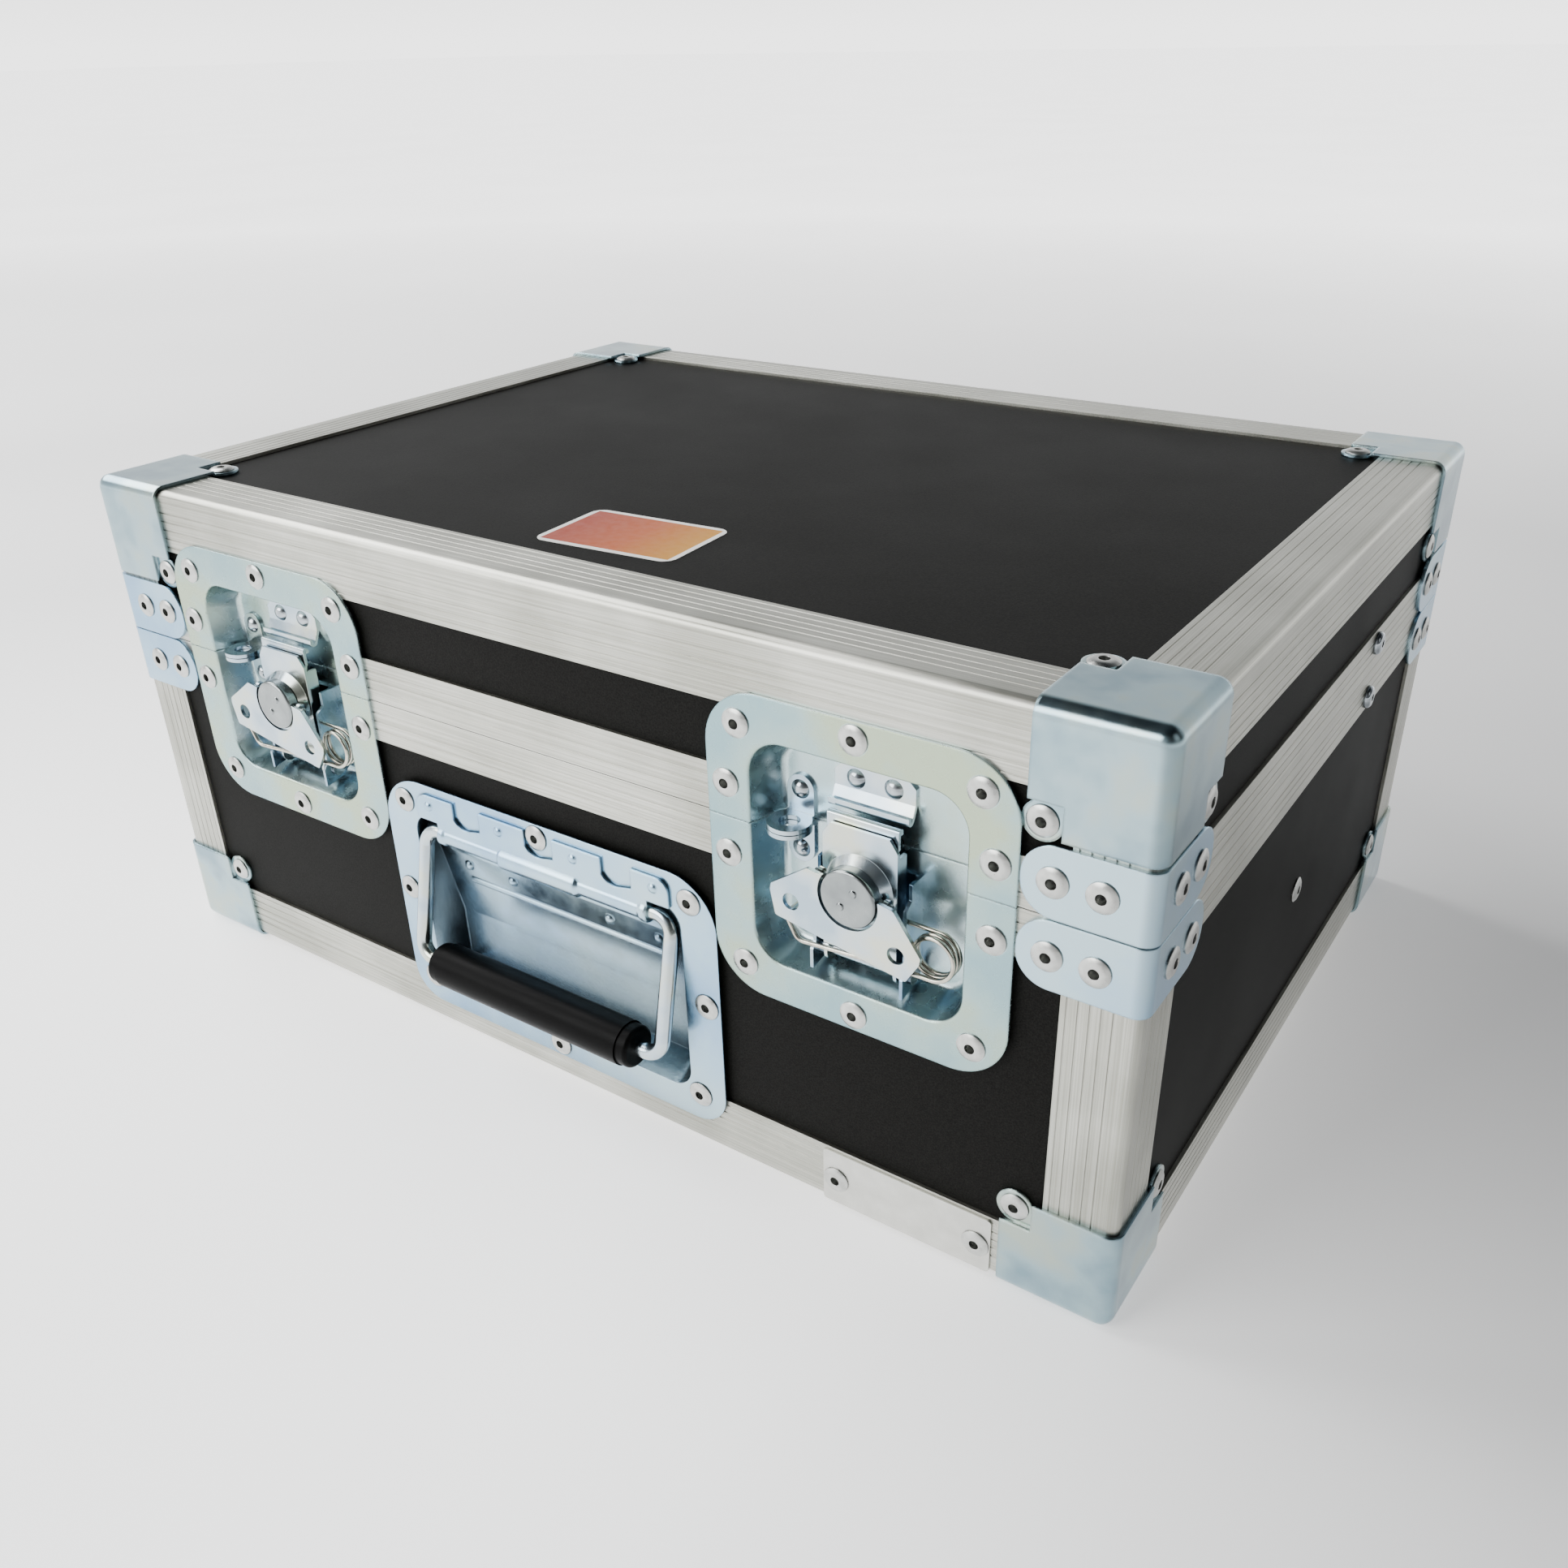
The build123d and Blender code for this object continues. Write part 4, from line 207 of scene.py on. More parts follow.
def make_drawn(name, upright_low, upright_high):
    """Aluminium with lines along each bar of a frame whose uprights stand between two heights."""
    finish, tree, surface, place = new_finish(name, Metallic=1.0)
    y = add_node(tree, "ShaderNodeSeparateXYZ", {0: place}, out="Y")
    z = add_node(tree, "ShaderNodeSeparateXYZ", {0: place}, out="Z")
    on_side = add_node(tree, "ShaderNodeMath", {0: y, 1: middle_y, 2: side_reach}, operation="COMPARE")
    above = add_node(tree, "ShaderNodeMath", {0: z, 1: upright_low}, operation="GREATER_THAN")
    below = add_node(tree, "ShaderNodeMath", {0: z, 1: upright_high}, operation="LESS_THAN")
    upright = add_node(tree, "ShaderNodeMath", {0: above, 1: below}, operation="MULTIPLY")
    lines = []
    for axis in range(3):
        squeeze = [1 / LINE_STRETCH if n == axis else 1 for n in range(3)]
        drawn_out = add_node(tree, "ShaderNodeMapping", {"Vector": place, "Scale": squeeze})
        fine = {"Vector": drawn_out, "Scale": scale_of(LINE_MM), "Detail": 3.0}
        lines.append(add_node(tree, "ShaderNodeTexNoise", fine))
    level = add_node(tree, "ShaderNodeMix", {0: on_side, 2: lines[0], 3: lines[1]})
    streaks = add_node(tree, "ShaderNodeMix", {0: upright, 2: level, 3: lines[2]})
    patches = {"Vector": place, "Scale": scale_of(CLOUD_MM), "Detail": 4.0}
    clouds = add_node(tree, "ShaderNodeTexNoise", patches)
    tone = add_node(tree, "ShaderNodeValToRGB", {"Fac": clouds}, stops=CLOUD_TONES)
    scored = add_node(tree, "ShaderNodeValToRGB", {"Fac": streaks}, stops=LINE_TONES)
    toned = {0: 1.0, 6: tone, 7: scored}
    wear = add_node(tree, "ShaderNodeMath", {0: streaks, 1: clouds}, operation="ADD")
    between = {
        "Value": wear, "From Min": 2 * NOISE_LOW, "From Max": 2 * NOISE_HIGH, "To Min": 0.26, "To Max": 0.46}
    edge = add_node(tree, "ShaderNodeBevel", {"Radius": BAR_EDGE}, samples=4)
    bumps = {"Height": streaks, "Distance": LINE_DEPTH, "Strength": 1.0, "Normal": edge}
    connect(tree, surface, {
        "Base Color": add_node(
            tree, "ShaderNodeMix", toned, out=2, data_type="RGBA", blend_type="MULTIPLY"),
        "Roughness": add_node(tree, "ShaderNodeMapRange", between),
        "Normal": add_node(tree, "ShaderNodeBump", bumps),
    })
    return finish


print("side bars lie more than", round(side_reach / MM, 1), "mm from the middle")

# %% Finish the frames
# The grain turns a little past each seam, so that no face lies just where it turns.
SEAM = 0.1 * MM
base_rails = make_drawn(
    "extruded_satin_aluminium_base",
    upright_low=base_low[2] + BAR_WIDTH + SEAM,
    upright_high=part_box("base_closure_profiles")[0][2] - SEAM)
lid_rails = make_drawn(
    "extruded_satin_aluminium_lid",
    upright_low=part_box("lid_closure_profiles")[1][2] + SEAM,
    upright_high=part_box("lid_edge_profiles")[1][2] - BAR_WIDTH - SEAM)
paint(base_rails, "aluminium_profile", "base_edge_profiles", "base_closure_profiles")
paint(lid_rails, "aluminium_profile", "lid_edge_profiles", "lid_closure_profiles")

# %% [markdown]
# ## Zinc-plated steel
#
# The corners, dishes and latch pieces are cold-rolled steel, pressed and then zinc plated with a thin clear
# passivation. The film shows faint interference colours: mostly pale blue, drifting to yellow-green where it
# is thicker. The plate is smooth, so it reflects softly but clearly. A wide noise drifts between the tints, a
# small one gives the soft mottling of the plate, and a fine one the rolled surface of the sheet.
#
# Inside a pressed pan the plate mirrors its own walls and what the pan holds, over and over. That light is
# painted into its colour there: a painted lighter tone in the latch dishes, and painted shade in the handle's
# pan behind the black grip. How open the air around a point is tells the hollow of a pan from its flange.

# %% Define the zinc plate
# The plate's bloom is 5 to 8 mm across, and its pull on the tint is slight.
BLOOM_MM = 6
BLOOM_SHARE = 0.15
TINT_STOPS = (0.36, 0.5, 0.64)
# The rolled grain is about 0.1 mm and is drawn coarser, so that it shows.
ROLLED_MM = 0.6
ROLLED_HEIGHT = 0.003 * MM
# The pans are 12 to 14 mm deep, and the air is tested over about twice that.
PAN_AIR = 28 * MM


def make_zinc(name, tints, drift_mm, rough, edge_mm, painted_pan_tone=None, open_air=1.0):
    """Zinc plate whose three tints drift over a real distance, with pressed edges of a small radius.

    A pressed pan can be given painted light or painted shade in its hollow, where less than a share of the
    air around a point is open.
    """
    finish, tree, surface, place = new_finish(name, Metallic=1.0)
    drift, bloom, rolled = [
        add_node(tree, "ShaderNodeTexNoise", {"Vector": place, "Scale": scale_of(size_mm), "Detail": detail})
        for size_mm, detail in ((drift_mm, 2.0), (BLOOM_MM, 4.0), (ROLLED_MM, 2.0))]
    both = add_node(tree, "ShaderNodeMix", {0: BLOOM_SHARE, 2: drift, 3: bloom})
    tint = add_node(tree, "ShaderNodeValToRGB", {"Fac": both}, stops=tuple(zip(TINT_STOPS, tints)))
    # In the hollow of a pan the tint gives way to a painted tone that stands in for light and shade.
    if painted_pan_tone:
        openness = add_node(tree, "ShaderNodeAmbientOcclusion", {"Distance": PAN_AIR}, out="AO", samples=8)
        share = {"Value": openness, "From Min": 0.5, "From Max": open_air, "To Min": 1.0, "To Max": 0.0}
        toned = {0: add_node(tree, "ShaderNodeMapRange", share), 6: tint, 7: linear(painted_pan_tone)}
        tint = add_node(tree, "ShaderNodeMix", toned, out=2, data_type="RGBA")
    between = {
        "Value": bloom, "From Min": NOISE_LOW, "From Max": NOISE_HIGH,
        "To Min": rough - 0.03, "To Max": rough + 0.04}
    edge = add_node(tree, "ShaderNodeBevel", {"Radius": edge_mm * MM}, samples=4)
    bumps = {"Height": rolled, "Distance": ROLLED_HEIGHT, "Strength": 1.0, "Normal": edge}
    connect(tree, surface, {
        "Base Color": tint,
        "Roughness": add_node(tree, "ShaderNodeMapRange", between),
        "Normal": add_node(tree, "ShaderNodeBump", bumps),
    })
    return finish


print("zinc plate ready, with", BLOOM_MM, "mm of bloom")

# %% Plate the dishes and the handle
PALE_BLUE = ("8aacca", "a1bfd4", "b0c9d3")
GREENISH = ("88a6ac", "99b2b0", "a6b49c")
# The latch dishes get a painted lighter tone in their hollows, and the handle's pan painted shade behind the
# grip.
zinc_green = make_zinc(
    "zinc_plate_yellow_green", GREENISH, drift_mm=45, rough=0.26, edge_mm=0.9, painted_pan_tone="b6c8cb", open_air=0.88)
zinc_pan = make_zinc(
    "zinc_plate_handle_pan", PALE_BLUE, drift_mm=60, rough=0.22, edge_mm=0.9, painted_pan_tone="2e383e", open_air=0.86)
zinc_blue = make_zinc("zinc_plate_blue", PALE_BLUE, drift_mm=60, rough=0.23, edge_mm=0.9)
dishes = [f"{side}_latch_{half}_dish" for side in ("left", "right") for half in ("upper", "lower")]
paint(zinc_green, "zinc_plate", *dishes)
paint(zinc_pan, "zinc_plate", "handle_dish")
paint(zinc_blue, "zinc_plate", "handle_hinge_cover", "base_hinge_leaves", "lid_hinge_leaves")

# %% Plate the corners
GREY_BLUE = ("7f98a4", "9ab1b7", "abb7ae")
zinc_corner = make_zinc("zinc_plate_corner", GREY_BLUE, drift_mm=28, rough=0.18, edge_mm=1.4)
paint(zinc_corner, "zinc_plate", "base_corner_caps", "lid_corner_caps")
paint(zinc_blue, "zinc_plate", "base_corner_braces", "lid_corner_braces")

# %% Plate the small pieces
PALE = ("a3b6c3", "bbc8cf", "c8cdc0")
DEEP_BLUE = ("7893ad", "90a8ba", "a5b3b9")
zinc_small = make_zinc("zinc_plate_small_pieces", PALE, drift_mm=20, rough=0.2, edge_mm=0.25)
zinc_deep = make_zinc("zinc_plate_brackets", DEEP_BLUE, drift_mm=20, rough=0.2, edge_mm=0.25)
small = [f"{side}_latch_{piece}" for side in ("left", "right") for piece in ("carrier", "hook", "wing")]
paint(zinc_small, "zinc_plate", "latch_keepers", "base_padlock_eyes", "lid_padlock_eyes", *small)
paint(zinc_small, "nickel_bright", "handle_bail")
paint(zinc_small, "zinc_plate", "stay_lower_link", "stay_upper_link", "divider_brackets")
paint(zinc_deep, "zinc_plate", "left_latch_bracket", "right_latch_bracket")

# %% [markdown]
# ## Rivets, pins and bright pieces
#
# The blind rivets are headed aluminium with a broad flange, bright where the tool pressed them. The small
# rivets, screws and pins are turned or headed steel. The knobs are turned and nickel-plated, which is greyer
# than the zinc, and the springs are drawn wire, a little warmer. The label plate is rolled aluminium and the
# dullest of them. Light hardly reaches down the bore of a rivet, so a point with little open air is darkened.

# %% Define the bright metals
# The bore of a rivet is about this wide.
BORE_AIR = 2.4 * MM
WEAR_HEIGHT = 0.01 * MM
BORE_SHADE = ((0.25, "1c1c1c"), (0.75, "ffffff"))


def make_bright(name, dark, light, rough, grain_mm, edge_mm):
    """Bright metal between two tones, with wear of a real size and painted shade in its bores and tight
    corners.
    """
    finish, tree, surface, place = new_finish(name, Metallic=1.0)
    wear = add_node(tree, "ShaderNodeTexNoise", {"Vector": place, "Scale": scale_of(grain_mm), "Detail": 3.0})
    openness = add_node(tree, "ShaderNodeAmbientOcclusion", {"Distance": BORE_AIR}, out="AO", samples=4)
    shadow = add_node(tree, "ShaderNodeValToRGB", {"Fac": openness}, stops=BORE_SHADE)
    tones = ((NOISE_LOW, dark), (NOISE_HIGH, light))
    metal = add_node(tree, "ShaderNodeValToRGB", {"Fac": wear}, stops=tones)
    shaded = {0: 1.0, 6: metal, 7: shadow}
    between = {
        "Value": wear, "From Min": NOISE_LOW, "From Max": NOISE_HIGH,
        "To Min": rough - 0.05, "To Max": rough + 0.08}
    edge = add_node(tree, "ShaderNodeBevel", {"Radius": edge_mm * MM}, samples=4)
    bumps = {"Height": wear, "Distance": WEAR_HEIGHT, "Strength": 1.0, "Normal": edge}
    connect(tree, surface, {
        "Base Color": add_node(
            tree, "ShaderNodeMix", shaded, out=2, data_type="RGBA", blend_type="MULTIPLY"),
        "Roughness": add_node(tree, "ShaderNodeMapRange", between),
        "Normal": add_node(tree, "ShaderNodeBump", bumps),
    })
    return finish


print("bright metals ready, with bores", round(BORE_AIR / MM, 1), "mm wide")

# %% Finish the bright pieces
rivet = make_bright("headed_aluminium_rivet", "b0b1ae", "cacbc7", rough=0.3, grain_mm=3, edge_mm=0.25)
steel = make_bright("headed_steel_fasteners", "959da4", "b8bec2", rough=0.17, grain_mm=3, edge_mm=0.15)
nickel = make_bright("turned_nickel_plate", "7d8283", "959a9a", rough=0.22, grain_mm=9, edge_mm=0.2)
wire = make_bright("drawn_spring_wire", "a9a598", "cbc7ba", rough=0.2, grain_mm=4, edge_mm=0.1)
label_metal = make_bright("rolled_aluminium_label", "c6c6c0", "d6d6d1", rough=0.38, grain_mm=8, edge_mm=0.1)
paint(rivet, "rivet_aluminium", "base_blind_rivets", "lid_blind_rivets")
paint(steel, "rivet_steel", "base_dome_rivets", "lid_dome_rivets", "latch_pivot_pins", "hinge_pins")
paint(steel, "rivet_steel", "stay_base_screw", "stay_lid_screw")
paint(nickel, "nickel_bright", "left_latch_knob", "right_latch_knob")
paint(wire, "nickel_bright", "latch_springs", "handle_spring")
paint(label_metal, "zinc_plate", "label_plate")

# %% [markdown]
# ## The rubber grip
#
# The grip is a black rubber tube moulded on the bail. The mould leaves it smooth and slightly shiny, with
# faint flow marks along it, so it shows one soft highlight down its length.

# %% Make the rubber
# The flow marks are a little over a millimetre wide and twelve times as long.
FLOW_MM = 1.2
FLOW_STRETCH = 12
FLOW_HEIGHT = 0.02 * MM

rubber, tree, surface, place = new_finish("moulded_black_rubber", IOR=1.52, Specular_IOR_Level=0.05)
along_grip = add_node(tree, "ShaderNodeMapping", {"Vector": place, "Scale": (1 / FLOW_STRETCH, 1, 1)})
flow = add_node(tree, "ShaderNodeTexNoise", {"Vector": along_grip, "Scale": scale_of(FLOW_MM), "Detail": 3.0})
blacks = ((NOISE_LOW, "030303"), (NOISE_HIGH, "070707"))
between = {"Value": flow, "From Min": NOISE_LOW, "From Max": NOISE_HIGH, "To Min": 0.34, "To Max": 0.46}
connect(tree, surface, {
    "Base Color": add_node(tree, "ShaderNodeValToRGB", {"Fac": flow}, stops=blacks),
    "Roughness": add_node(tree, "ShaderNodeMapRange", between),
    "Normal": add_node(tree, "ShaderNodeBump", {"Height": flow, "Distance": FLOW_HEIGHT, "Strength": 1.0}),
})
paint(rubber, "grip_rubber", "handle_grip")

# %% [markdown]
# ## The foam lining
#
# The case is lined with dark polyether foam. The floor and wall pieces are cut from flat sheet, and the lid's
# pad has a convoluted face, which the foam maker gets by squeezing the sheet between studded rollers while
# cutting it. A plain block would look hard, so each piece is modelled here with rounded edges, and the waves
# of the lid's pad are in its mesh. The cut cells scatter light, so foam is matt and soft at its edges.

# %% Make the foam finish
# The cells are about 0.5 mm across and are drawn coarser, so that they show.
CELL_MM = 0.9
CELL_DEPTH = 0.25 * MM
# Air and light fade the foam in patches of about this size.
FADED_MM = 25

foam, tree, surface, place = new_finish("cut_open_cell_foam", IOR=1.5, Roughness=0.95, Sheen_Weight=0.25)
cells = add_node(tree, "ShaderNodeTexVoronoi", {"Vector": place, "Scale": scale_of(CELL_MM)}, out="Distance")
faded = add_node(tree, "ShaderNodeTexNoise", {"Vector": place, "Scale": scale_of(FADED_MM), "Detail": 2.0})
pores = add_node(tree, "ShaderNodeValToRGB", {"Fac": cells}, stops=((0.1, "0d0d0f"), (0.6, "2b2b2f")))
mixed = {0: faded, 6: pores, 7: linear("232327")}
connect(tree, surface, {
    "Base Color": add_node(tree, "ShaderNodeMix", mixed, out=2, data_type="RGBA"),
    "Normal": add_node(tree, "ShaderNodeBump", {"Height": cells, "Distance": CELL_DEPTH, "Strength": 1.0}),
})
print("foam finish ready")

# %% Define a foam block
GRID_STEP = 6 * MM
FEWEST_CELLS, MOST_CELLS = 2, 90
SOFT_EDGE = 2.2 * MM
# The waves of a studded face fade out half way through the block, and are up to two fifths of it deep.
WAVED_SHARE = 0.5
WAVE_SHARE = 0.2


def soft_block(name, low, high, studs=None):
    """A foam block between two corners with rounded edges. Studs are waves on its lower face."""
    size = [b - a for a, b in zip(low, high)]
    counts = [max(FEWEST_CELLS, min(MOST_CELLS, round(s / GRID_STEP))) for s in size]
    points, faces, seen = [], [], {}

    def add_face(*keys):
        for key in keys:
            if key not in seen:
                seen[key] = len(points)
                points.append([a + s * n / c for a, s, n, c in zip(low, size, key, counts)])
        faces.append([seen[key] for key in keys])

    nx, ny, nz = counts
    for i in range(nx):
        for j in range(ny):
            add_face((i, j, 0), (i, j + 1, 0), (i + 1, j + 1, 0), (i + 1, j, 0))
            add_face((i, j, nz), (i + 1, j, nz), (i + 1, j + 1, nz), (i, j + 1, nz))
    for i in range(nx):
        for k in range(nz):
            add_face((i, 0, k), (i + 1, 0, k), (i + 1, 0, k + 1), (i, 0, k + 1))
            add_face((i, ny, k), (i, ny, k + 1), (i + 1, ny, k + 1), (i + 1, ny, k))
    for j in range(ny):
        for k in range(nz):
            add_face((0, j, k), (0, j, k + 1), (0, j + 1, k + 1), (0, j + 1, k))
            add_face((nx, j, k), (nx, j + 1, k), (nx, j + 1, k + 1), (nx, j, k + 1))
    soft = min(SOFT_EDGE, min(size) / 3)
    waved = WAVED_SHARE * size[2]
    for point in points:
        inner = [min(max(p, a + soft), b - soft) for p, a, b in zip(point, low, high)]
        away = [p - q for p, q in zip(point, inner)]
        length = hypot(*away)
        if length > soft:
            point[:] = [q + step * soft / length for q, step in zip(inner, away)]
        if studs and point[2] < low[2] + waved:
            wave = sin(2 * pi * point[0] / studs) * sin(2 * pi * point[1] / studs)
            fade = 1 - (point[2] - low[2]) / waved
            point[2] += (1 + wave) * WAVE_SHARE * size[2] * fade
    mesh = bpy.data.meshes.new(name)
    mesh.from_pydata(points, [], faces)
    mesh.validate()
    for polygon in mesh.polygons:
        polygon.use_smooth = True
    mesh.materials.append(foam)
    piece = bpy.data.objects.new(name, mesh)
    bpy.context.collection.objects.link(piece)
    print(name, "with", len(points), "points")
    return piece


print("foam blocks have points every", round(GRID_STEP / MM), "mm")

# %% Line the floor
floor_piece = soft_block("floor_lining", *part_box("floor_foam"))
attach(floor_piece, "base")
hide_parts("floor_foam")

# %% [markdown]
# ## The lining of the walls
#
# The walls are lined piece by piece, as a case maker glues them in: one along the front, one along the back,
# and on each side one in front of the divider and one behind its brackets. The divider and its brackets give
# the places where the side pieces end, so nothing has to be cut out of them.

# %% Line the walls
WALL_THICK = 10 * MM
BRACKET_GAP = 0.3 * MM
wall_low, wall_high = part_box("wall_foam")
divider_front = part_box("divider_board")[0][1]
brackets_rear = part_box("divider_brackets")[1][1] + BRACKET_GAP
spans = {
    "front_wall_lining": ((wall_low[0], wall_low[1]), (wall_high[0], wall_low[1] + WALL_THICK)),
    "back_wall_lining": ((wall_low[0], wall_high[1] - WALL_THICK), (wall_high[0], wall_high[1])),
}
for side, near in (("left", wall_low[0]), ("right", wall_high[0] - WALL_THICK)):
    far = near + WALL_THICK
    spans[f"{side}_front_side_lining"] = ((near, wall_low[1] + WALL_THICK), (far, divider_front))
    spans[f"{side}_rear_side_lining"] = ((near, brackets_rear), (far, wall_high[1] - WALL_THICK))
for name, (low, high) in spans.items():
    lining = soft_block(name, [*low, wall_low[2]], [*high, wall_high[2]])
    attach(lining, "base")
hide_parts("wall_foam")

# %% Line the lid
STUD_PITCH = 36 * MM
lid_piece = soft_block("lid_lining", *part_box("lid_foam"), studs=STUD_PITCH)
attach(lid_piece, "lid")
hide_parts("lid_foam")

# %% [markdown]
# ## The sticker
#
# A vinyl sticker lies on the lid near the front: a plain label with a white border and an orange fade. It
# could be painted into the lid's finish, but a flat piece a sixth of a millimetre thick gives it a real edge
# and leaves the board's finish as it is. Vinyl is smooth under a clear coat, so it is glossier than the
# board.

# %% Make the vinyl
STICKER_SIZE = (60 * MM, 40 * MM)
STICKER_BORDER = 2.2 * MM
STICKER_PLACE = (5 * MM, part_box("lid_edge_profiles")[0][1] + 59 * MM)
STICKER_TURN = radians(4)
FADE = ((0.1, "9c2e00"), (0.55, "b65200"), (0.95, "c68804"))
# Handling dulls the gloss in spots of about this size.
RUBBED_MM = 3

vinyl, tree, surface, place = new_finish(
    "printed_vinyl", IOR=1.53, Specular_IOR_Level=0.15, Coat_Weight=0.04, Coat_Roughness=0.1)
# The place on the sticker runs from -0.5 to 0.5 along each of its sides.
laid = {
    "Vector": place, "Location": (*STICKER_PLACE, 0), "Rotation": (0, 0, STICKER_TURN),
    "Scale": (*STICKER_SIZE, 1)}
on_sticker = add_node(tree, "ShaderNodeMapping", laid, vector_type="TEXTURE")
along = add_node(tree, "ShaderNodeSeparateXYZ", {0: on_sticker}, out="X")
across = add_node(tree, "ShaderNodeSeparateXYZ", {0: on_sticker}, out="Y")
left_to_right = {"Value": along, "From Min": -0.5, "From Max": 0.5, "To Min": 0.0, "To Max": 1.0}
from_left = {"Fac": add_node(tree, "ShaderNodeMapRange", left_to_right)}
fade = add_node(tree, "ShaderNodeValToRGB", from_left, stops=FADE)
half_along, half_across = (0.5 - STICKER_BORDER / size for size in STICKER_SIZE)
in_length = add_node(tree, "ShaderNodeMath", {0: along, 1: 0.0, 2: half_along}, operation="COMPARE")
in_width = add_node(tree, "ShaderNodeMath", {0: across, 1: 0.0, 2: half_across}, operation="COMPARE")
within_border = add_node(tree, "ShaderNodeMath", {0: in_length, 1: in_width}, operation="MULTIPLY")
printed = {0: within_border, 6: linear("f4f3ee"), 7: fade}
rubbed = add_node(tree, "ShaderNodeTexNoise", {"Vector": place, "Scale": scale_of(RUBBED_MM), "Detail": 3.0})
between = {"Value": rubbed, "From Min": NOISE_LOW, "From Max": NOISE_HIGH, "To Min": 0.28, "To Max": 0.4}
connect(tree, surface, {
    "Base Color": add_node(tree, "ShaderNodeMix", printed, out=2, data_type="RGBA"),
    "Roughness": add_node(tree, "ShaderNodeMapRange", between),
})
print("vinyl with a border of", round(STICKER_BORDER / MM, 1), "mm")

# %% Lay the sticker
STICKER_ROUND = 5 * MM
STICKER_THICK = 0.16 * MM
ARC_STEPS = 8
rim = []
for sx, sy, start in ((1, 1, 0), (-1, 1, 90), (-1, -1, 180), (1, -1, 270)):
    for step in range(ARC_STEPS + 1):
        angle = radians(start + step * 90 / ARC_STEPS)
        x = sx * (STICKER_SIZE[0] / 2 - STICKER_ROUND) + STICKER_ROUND * cos(angle)
        y = sy * (STICKER_SIZE[1] / 2 - STICKER_ROUND) + STICKER_ROUND * sin(angle)
        turned_x = x * cos(STICKER_TURN) - y * sin(STICKER_TURN)
        turned_y = x * sin(STICKER_TURN) + y * cos(STICKER_TURN)
        rim.append((turned_x + STICKER_PLACE[0], turned_y + STICKER_PLACE[1]))
lid_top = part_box("lid_top_panel")[1][2]
around = len(rim)
points = [(x, y, lid_top) for x, y in rim] + [(x, y, lid_top + STICKER_THICK) for x, y in rim]
faces = [list(range(around, 2 * around)), list(range(around - 1, -1, -1))]
faces += [[i, (i + 1) % around, around + (i + 1) % around, around + i] for i in range(around)]
mesh = bpy.data.meshes.new("lid_sticker")
mesh.from_pydata(points, [], faces)
mesh.materials.append(vinyl)
sticker = bpy.data.objects.new("lid_sticker", mesh)
bpy.context.collection.objects.link(sticker)
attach(sticker, "lid")
print("sticker with", len(points), "points")

# %% [markdown]
# ## The studio
#
# The photograph has a white ground and soft light, strongest from the front left and above, with the right
# side in shade. A pale floor, a graded world and three large soft lamps give that light. The floor glows a
# little, because a real white sweep is lit from all around, and lamps alone would leave it grey.

# %% Lay the floor
FLOOR_REACH = 30.0
# The floor is a shade paler or greyer in patches of about this size.
TRODDEN_MM = 400
GLOW_CENTRE = (-0.15, -0.36, 0.0)

floor_mesh = bpy.data.meshes.new("studio_floor")
square = [(x * FLOOR_REACH, y * FLOOR_REACH, 0) for x, y in ((-1, -1), (1, -1), (1, 1), (-1, 1))]
floor_mesh.from_pydata(square, [], [[0, 1, 2, 3]])
floor_finish, tree, surface, place = new_finish("studio_floor", Roughness=0.8)
trodden = {"Vector": place, "Scale": scale_of(TRODDEN_MM), "Detail": 2.0}
worn = add_node(tree, "ShaderNodeTexNoise", trodden)
whites = ((NOISE_LOW, "f6f6f6"), (NOISE_HIGH, "fbfbfb"))
pale = add_node(tree, "ShaderNodeValToRGB", {"Fac": worn}, stops=whites)
# The floor's glow is painted light: a pool most in front of the case, painted shade to its right, and bright
# again far away. The ranges are metres.
reach = add_node(
    tree, "ShaderNodeVectorMath", {0: place, 1: GLOW_CENTRE}, out="Value", operation="DISTANCE")
aside = add_node(tree, "ShaderNodeSeparateXYZ", {0: place}, out="X")
near_glow = {"Value": reach, "From Min": 0.25, "From Max": 0.72, "To Min": 1.35, "To Max": 0.35}
# Painted shade: the floor's glow falls away to the right of the case.
painted_shade_right = {"Value": aside, "From Min": 0.15, "From Max": 0.45, "To Min": 1.0, "To Max": 0.25}
far_glow = {"Value": reach, "From Min": 1.2, "From Max": 3.2, "To Min": 0.0, "To Max": 2.4}
parts = (near_glow, painted_shade_right, far_glow)
glow = {socket: add_node(tree, "ShaderNodeMapRange", part) for socket, part in enumerate(parts)}
connect(tree, surface, {
    "Base Color": pale,
    "Emission Color": pale,
    "Emission Strength": add_node(tree, "ShaderNodeMath", glow, operation="MULTIPLY_ADD"),
})
floor_mesh.materials.append(floor_finish)
studio_floor = bpy.data.objects.new("studio_floor", floor_mesh)
bpy.context.collection.objects.link(studio_floor)
print("floor", 2 * FLOOR_REACH, "m square")

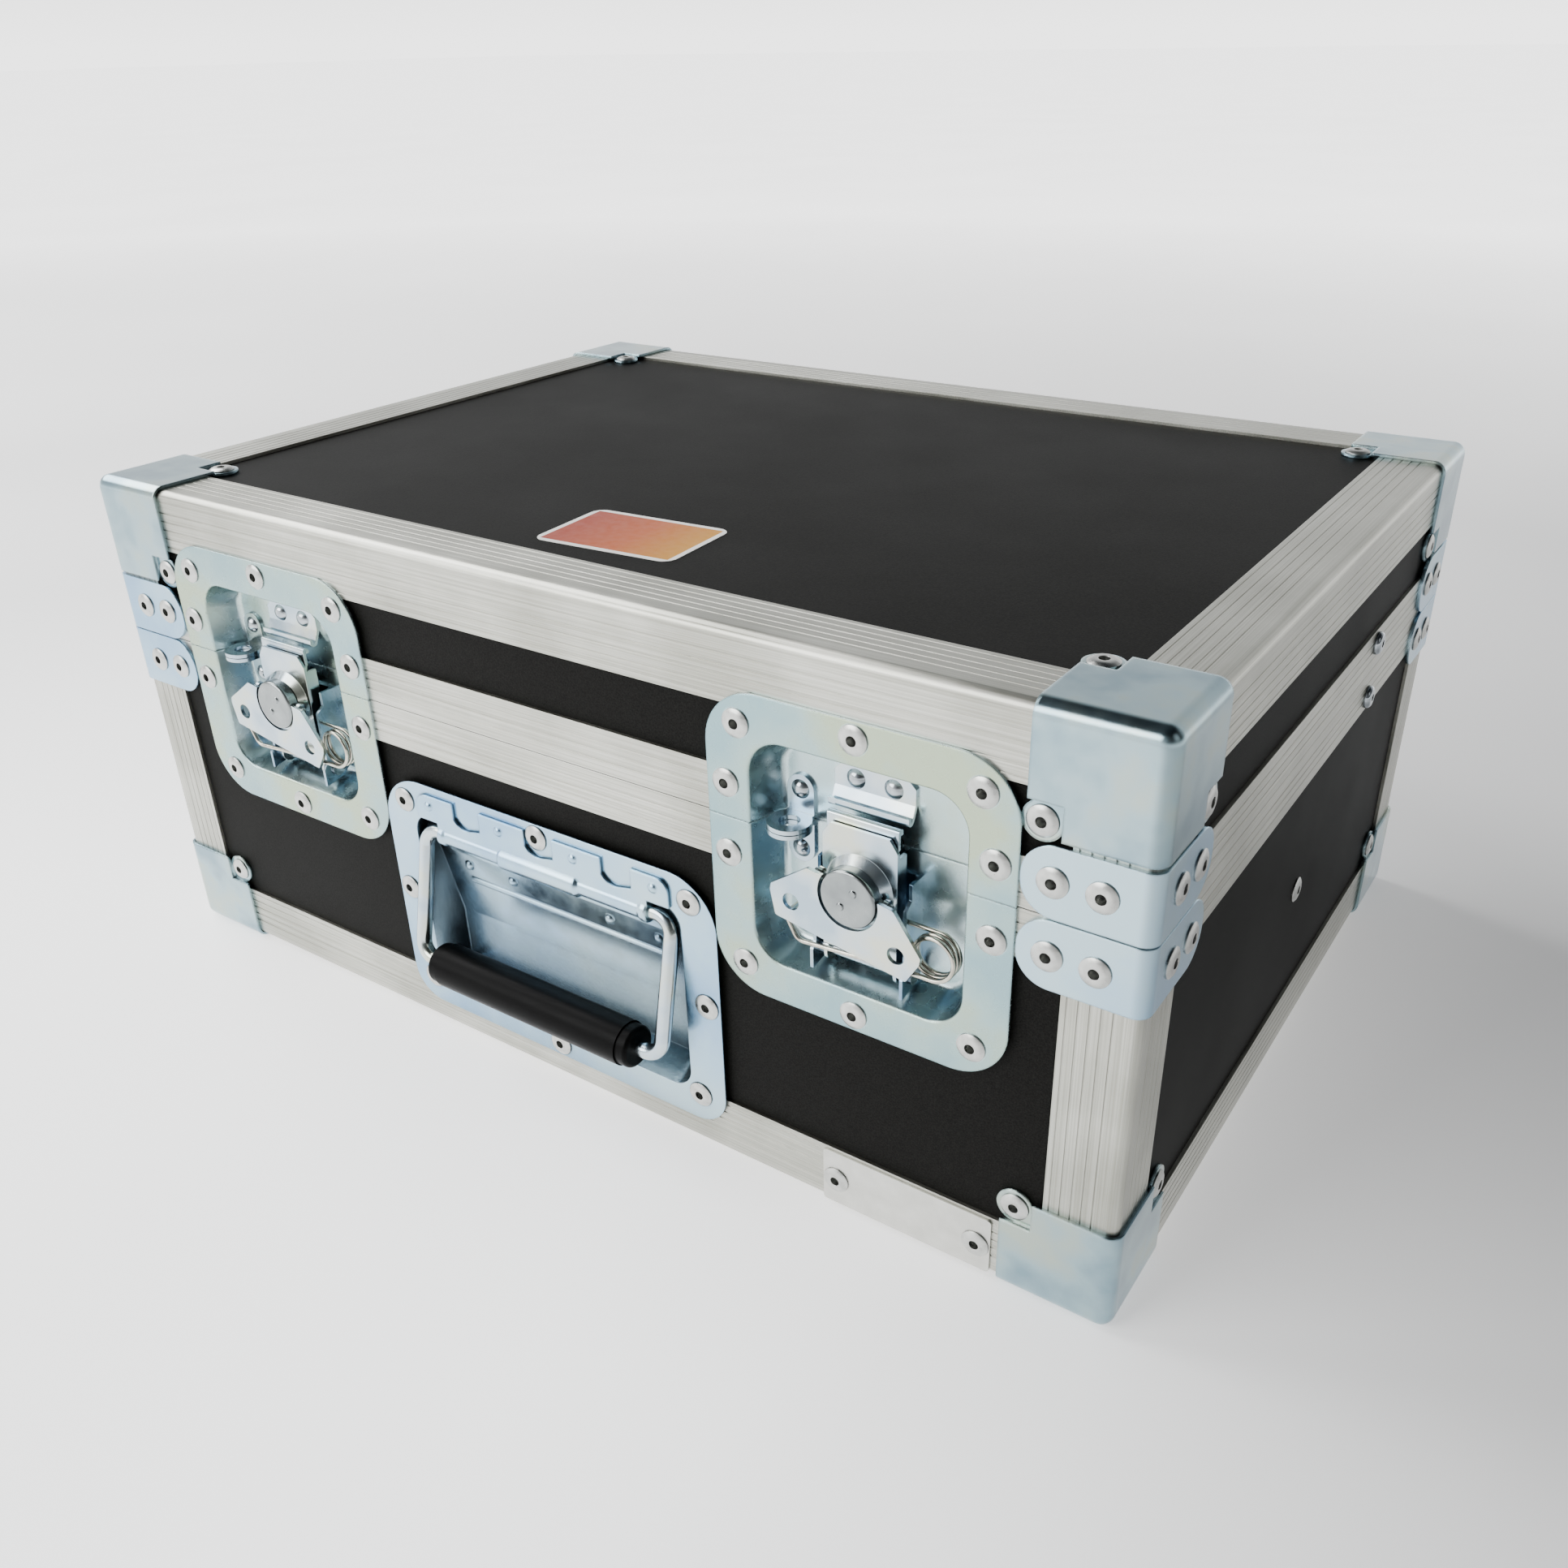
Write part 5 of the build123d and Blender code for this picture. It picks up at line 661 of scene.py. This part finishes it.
# %% Light the sky
# A direction counts as towards the shade by how far it points to the right, and a third as much by how far
# it points to the front.
FRONT_SHARE = -0.35
SKY = ((0.0, "f0f0f0"), (0.15, "ffffff"), (0.44, "d0d2d4"), (0.8, "2c3034"))

world = bpy.data.worlds.new("studio")
bpy.context.scene.world = world
world.use_nodes = True
tree = world.node_tree
direction = add_node(tree, "ShaderNodeTexCoord", {}, out="Generated")
aside = add_node(tree, "ShaderNodeSeparateXYZ", {0: direction}, out="X")
behind = add_node(tree, "ShaderNodeSeparateXYZ", {0: direction}, out="Y")
height = add_node(tree, "ShaderNodeSeparateXYZ", {0: direction}, out="Z")
toward = {0: behind, 1: FRONT_SHARE, 2: aside}
to_shade = add_node(tree, "ShaderNodeMath", toward, operation="MULTIPLY_ADD")
shade = {"Value": to_shade, "From Min": -0.1, "From Max": 0.7, "To Min": 1.0, "To Max": 0.1}
horizon = {"Value": height, "From Min": 0.0, "From Max": 0.12, "To Min": 3.6, "To Max": 1.5}
strength = {0: add_node(tree, "ShaderNodeMapRange", shade), 1: add_node(tree, "ShaderNodeMapRange", horizon)}
connect(tree, tree.nodes["Background"], {
    "Color": add_node(tree, "ShaderNodeValToRGB", {"Fac": height}, stops=SKY),
    "Strength": add_node(tree, "ShaderNodeMath", strength, operation="MULTIPLY"),
})
print("sky of", len(SKY), "bands")

# %% Hang the lamps
CASE_CENTRE = Vector((0, 0, 0.1))


def soft_box(name, place, width, height, power):
    """A large rectangular lamp at a place, turned to face the case."""
    lamp = bpy.data.lights.new(name, "AREA")
    lamp.shape = "RECTANGLE"
    lamp.size = width
    lamp.size_y = height
    lamp.energy = power
    box = bpy.data.objects.new(name, lamp)
    box.location = place
    box.rotation_euler = (CASE_CENTRE - Vector(place)).to_track_quat("-Z", "Y").to_euler()
    bpy.context.collection.objects.link(box)
    print(name, "of", power, "W")


soft_box("front_lamp", (-0.9, -1.6, 1.1), width=1.4, height=1.0, power=35)
soft_box("left_lamp", (-1.5, -0.1, 1.5), width=1.4, height=1.2, power=50)
soft_box("right_lamp", (1.8, -0.4, 1.2), width=0.8, height=1.0, power=1.5)
